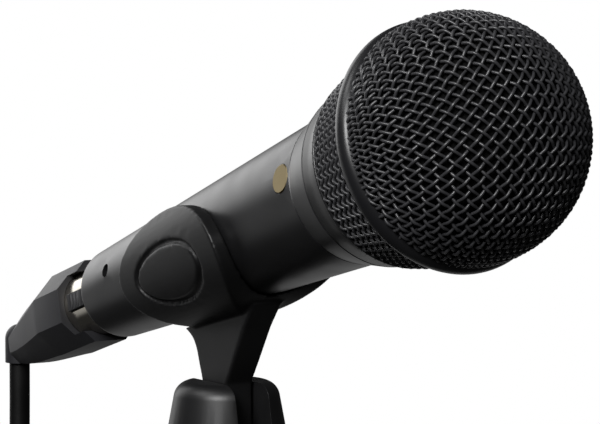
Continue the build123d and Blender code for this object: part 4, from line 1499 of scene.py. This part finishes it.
@dataclass
class Studio:
    """The pale floor, the soft light and the camera, in metres.

    Attributes:
        floor_level: The level that the lead lies on.
        floor_size: The floor's radius.
        floor_sides: How many sides the floor has.
        paper: The floor's colour, in sRGB.
        paper_roughness: How matt the floor is.
        head: The point that the lights face.
        camera_at: Where the camera stands.
        camera_tilt: How far it is tipped up from looking straight down, in degrees.
        camera_turn: How far it is turned to its left from looking along +Y, in degrees.
        lens: Its focal length, in millimetres.
        sensor: Its picture's width, in millimetres.
        sight: The nearest and farthest that it sees.
        room: The brightness all round, before the glows.
    """

    floor_level: float = -0.1102
    floor_size: float = 0.7
    floor_sides: int = 96
    paper: str = "#f2f2f0"
    paper_roughness: float = 0.8
    head: Vector = field(default_factory=lambda: Vector((0.09, 0, 0.1)))
    camera_at: Vector = field(default_factory=lambda: Vector((0.4250, -0.2516, 0.1110)))
    camera_tilt: float = 87.0
    camera_turn: float = 57.30
    lens: float = 122.0
    sensor: float = 36.0
    sight: tuple[float, float] = (0.01, 50.0)
    room: float = 0.03

    def build(self) -> None:
        """Set up the room."""
        self.camera()
        self.floor()
        self.lights()
        self.surroundings()

    def camera(self) -> None:
        """Stand the camera ahead of the microphone, to one side."""
        lens = bpy.data.cameras.new("camera")
        lens.lens = self.lens
        lens.sensor_width = self.sensor
        lens.clip_start, lens.clip_end = self.sight
        holder = bpy.data.objects.new("camera", lens)
        holder.location = self.camera_at
        holder.rotation_euler = (math.radians(self.camera_tilt), 0, math.radians(self.camera_turn))
        bpy.context.collection.objects.link(holder)
        bpy.context.scene.camera = holder

    def floor(self) -> None:
        """Lay a pale floor."""
        let_go()
        bpy.ops.mesh.primitive_circle_add(
            vertices=self.floor_sides,
            radius=self.floor_size,
            fill_type="NGON",
            location=(0, 0, self.floor_level),
        )
        floor = bpy.context.object
        floor.name = "floor"
        paper = bpy.data.materials.new("white_paper")
        paper.use_nodes = True
        shader = paper.node_tree.nodes["Principled BSDF"]
        shader.inputs["Base Color"].default_value = linear(self.paper)
        shader.inputs["Roughness"].default_value = self.paper_roughness
        floor.data.materials.append(paper)
        floor.visible_glossy = False
        floor.visible_diffuse = False

    def softbox(self, box: Softbox) -> None:
        """Hang a soft rectangular light.

        Args:
            box: The light.
        """
        light = bpy.data.lights.new(box.name, "AREA")
        light.shape = "RECTANGLE"
        light.size, light.size_y = box.size
        light.energy = box.power
        place = self.head + box.distance * Vector(box.way)
        holder = bpy.data.objects.new(box.name, light)
        holder.location = place
        holder.rotation_euler = (place - self.head).to_track_quat("Z", "Y").to_euler()
        bpy.context.collection.objects.link(holder)

    def lights(self) -> None:
        """Light the scene softly from above, on the camera's side."""
        for box in SOFTBOXES:
            self.softbox(box)

    def shine(self, tree: Tree, way: Socket, glow: Glow) -> Socket:
        """How bright a patch of the surroundings is.

        Args:
            tree: The world's nodes.
            way: The direction that is looked in.
            glow: The patch.

        Returns:
            Its brightness in that direction.
        """
        aim = Vector(glow.way).normalized()
        facing = add(tree, "ShaderNodeVectorMath", {0: way, 1: aim}, operation="DOT_PRODUCT")
        start, full = glow.span
        spread: Inputs = {
            "Value": facing.outputs["Value"],
            "From Min": start,
            "From Max": full,
            "To Max": glow.strength,
        }
        range_node = add(tree, "ShaderNodeMapRange", spread, interpolation_type="SMOOTHSTEP")
        return range_node.outputs["Result"]

    def surroundings(self) -> None:
        """Surround the object with white paper, which the camera sees as plain white."""
        world = bpy.data.worlds.new("studio")
        bpy.context.scene.world = world
        world.use_nodes = True
        tree = world.node_tree
        tree.nodes.clear()
        seen = add(tree, "ShaderNodeBackground", {"Color": (1, 1, 1, 1), "Strength": 1.0})
        way = add(tree, "ShaderNodeTexCoord").outputs["Generated"]
        total: Socket | float = self.room
        for glow in GLOWS:
            pair: Inputs = {0: total, 1: self.shine(tree, way, glow)}
            total = add(tree, "ShaderNodeMath", pair, operation="ADD").outputs[0]
        lit = add(tree, "ShaderNodeBackground", {"Color": (1, 1, 1, 1), "Strength": total})
        path = add(tree, "ShaderNodeLightPath")
        choice: Inputs = {
            0: path.outputs["Is Camera Ray"], 1: lit.outputs[0], 2: seen.outputs[0]
        }
        mix = add(tree, "ShaderNodeMixShader", choice)
        add(tree, "ShaderNodeOutputWorld", {"Surface": mix.outputs[0]})
        bpy.context.scene.view_settings.view_transform = "Standard"


NODE_FINISHES: dict[str, Finish] = {
    "lock_ring": SATIN_PAINT,
    "handle": SATIN_PAINT,
    "badge": ANODISED,
    "tail_screw": DARK_STEEL,
    "xlr_insert": INSERT_PLASTIC,
    "xlr_pins": GOLD,
    "capsule_housing": INSERT_PLASTIC,
    "capsule_cap": NICKEL,
    "yoke": STEEL,
    "magnet": NICKEL,
    "pole_piece": STEEL,
    "shock_mount": RUBBER,
    "terminal_board": BOARD,
    "signal_wires": WIRE_JACKET,
    "diaphragm": FILM,
    "voice_coil": WINDING,
    "plug_shell": NICKEL,
    "plug_insert": INSERT_PLASTIC,
    "plug_contacts": GOLD,
    "thread_insert": BRASS,
    "pivot_bolt": STEEL,
    "pivot_nut": STEEL,
    "pivot_washers": NYLON,
    "far_plug_insert": INSERT_PLASTIC,
    "far_plug_pins": GOLD,
    "far_plug_chuck": NYLON,
}


def dress_frame() -> None:
    """Give each piece of the frame that is shown its own finish."""
    for node, finish in NODE_FINISHES.items():
        piece = frame["nodes"][node]
        piece.data.materials.clear()
        piece.data.materials.append(finish.material())
        log.info("%s: %s", node, finish.name)


def main() -> None:
    """Build the microphone's looks round the frame."""
    logging.basicConfig(level=logging.INFO, format="%(name)s %(message)s")
    bpy.context.view_layer.update()
    Studio().build()
    Strap().build()
    FarPlug().build()
    Lead().build()
    dress_frame()
    Grille().build()
    Clip().build()
    MicPlug().build()
    bpy.context.view_layer.update()


if __name__ == "__main__":
    main()
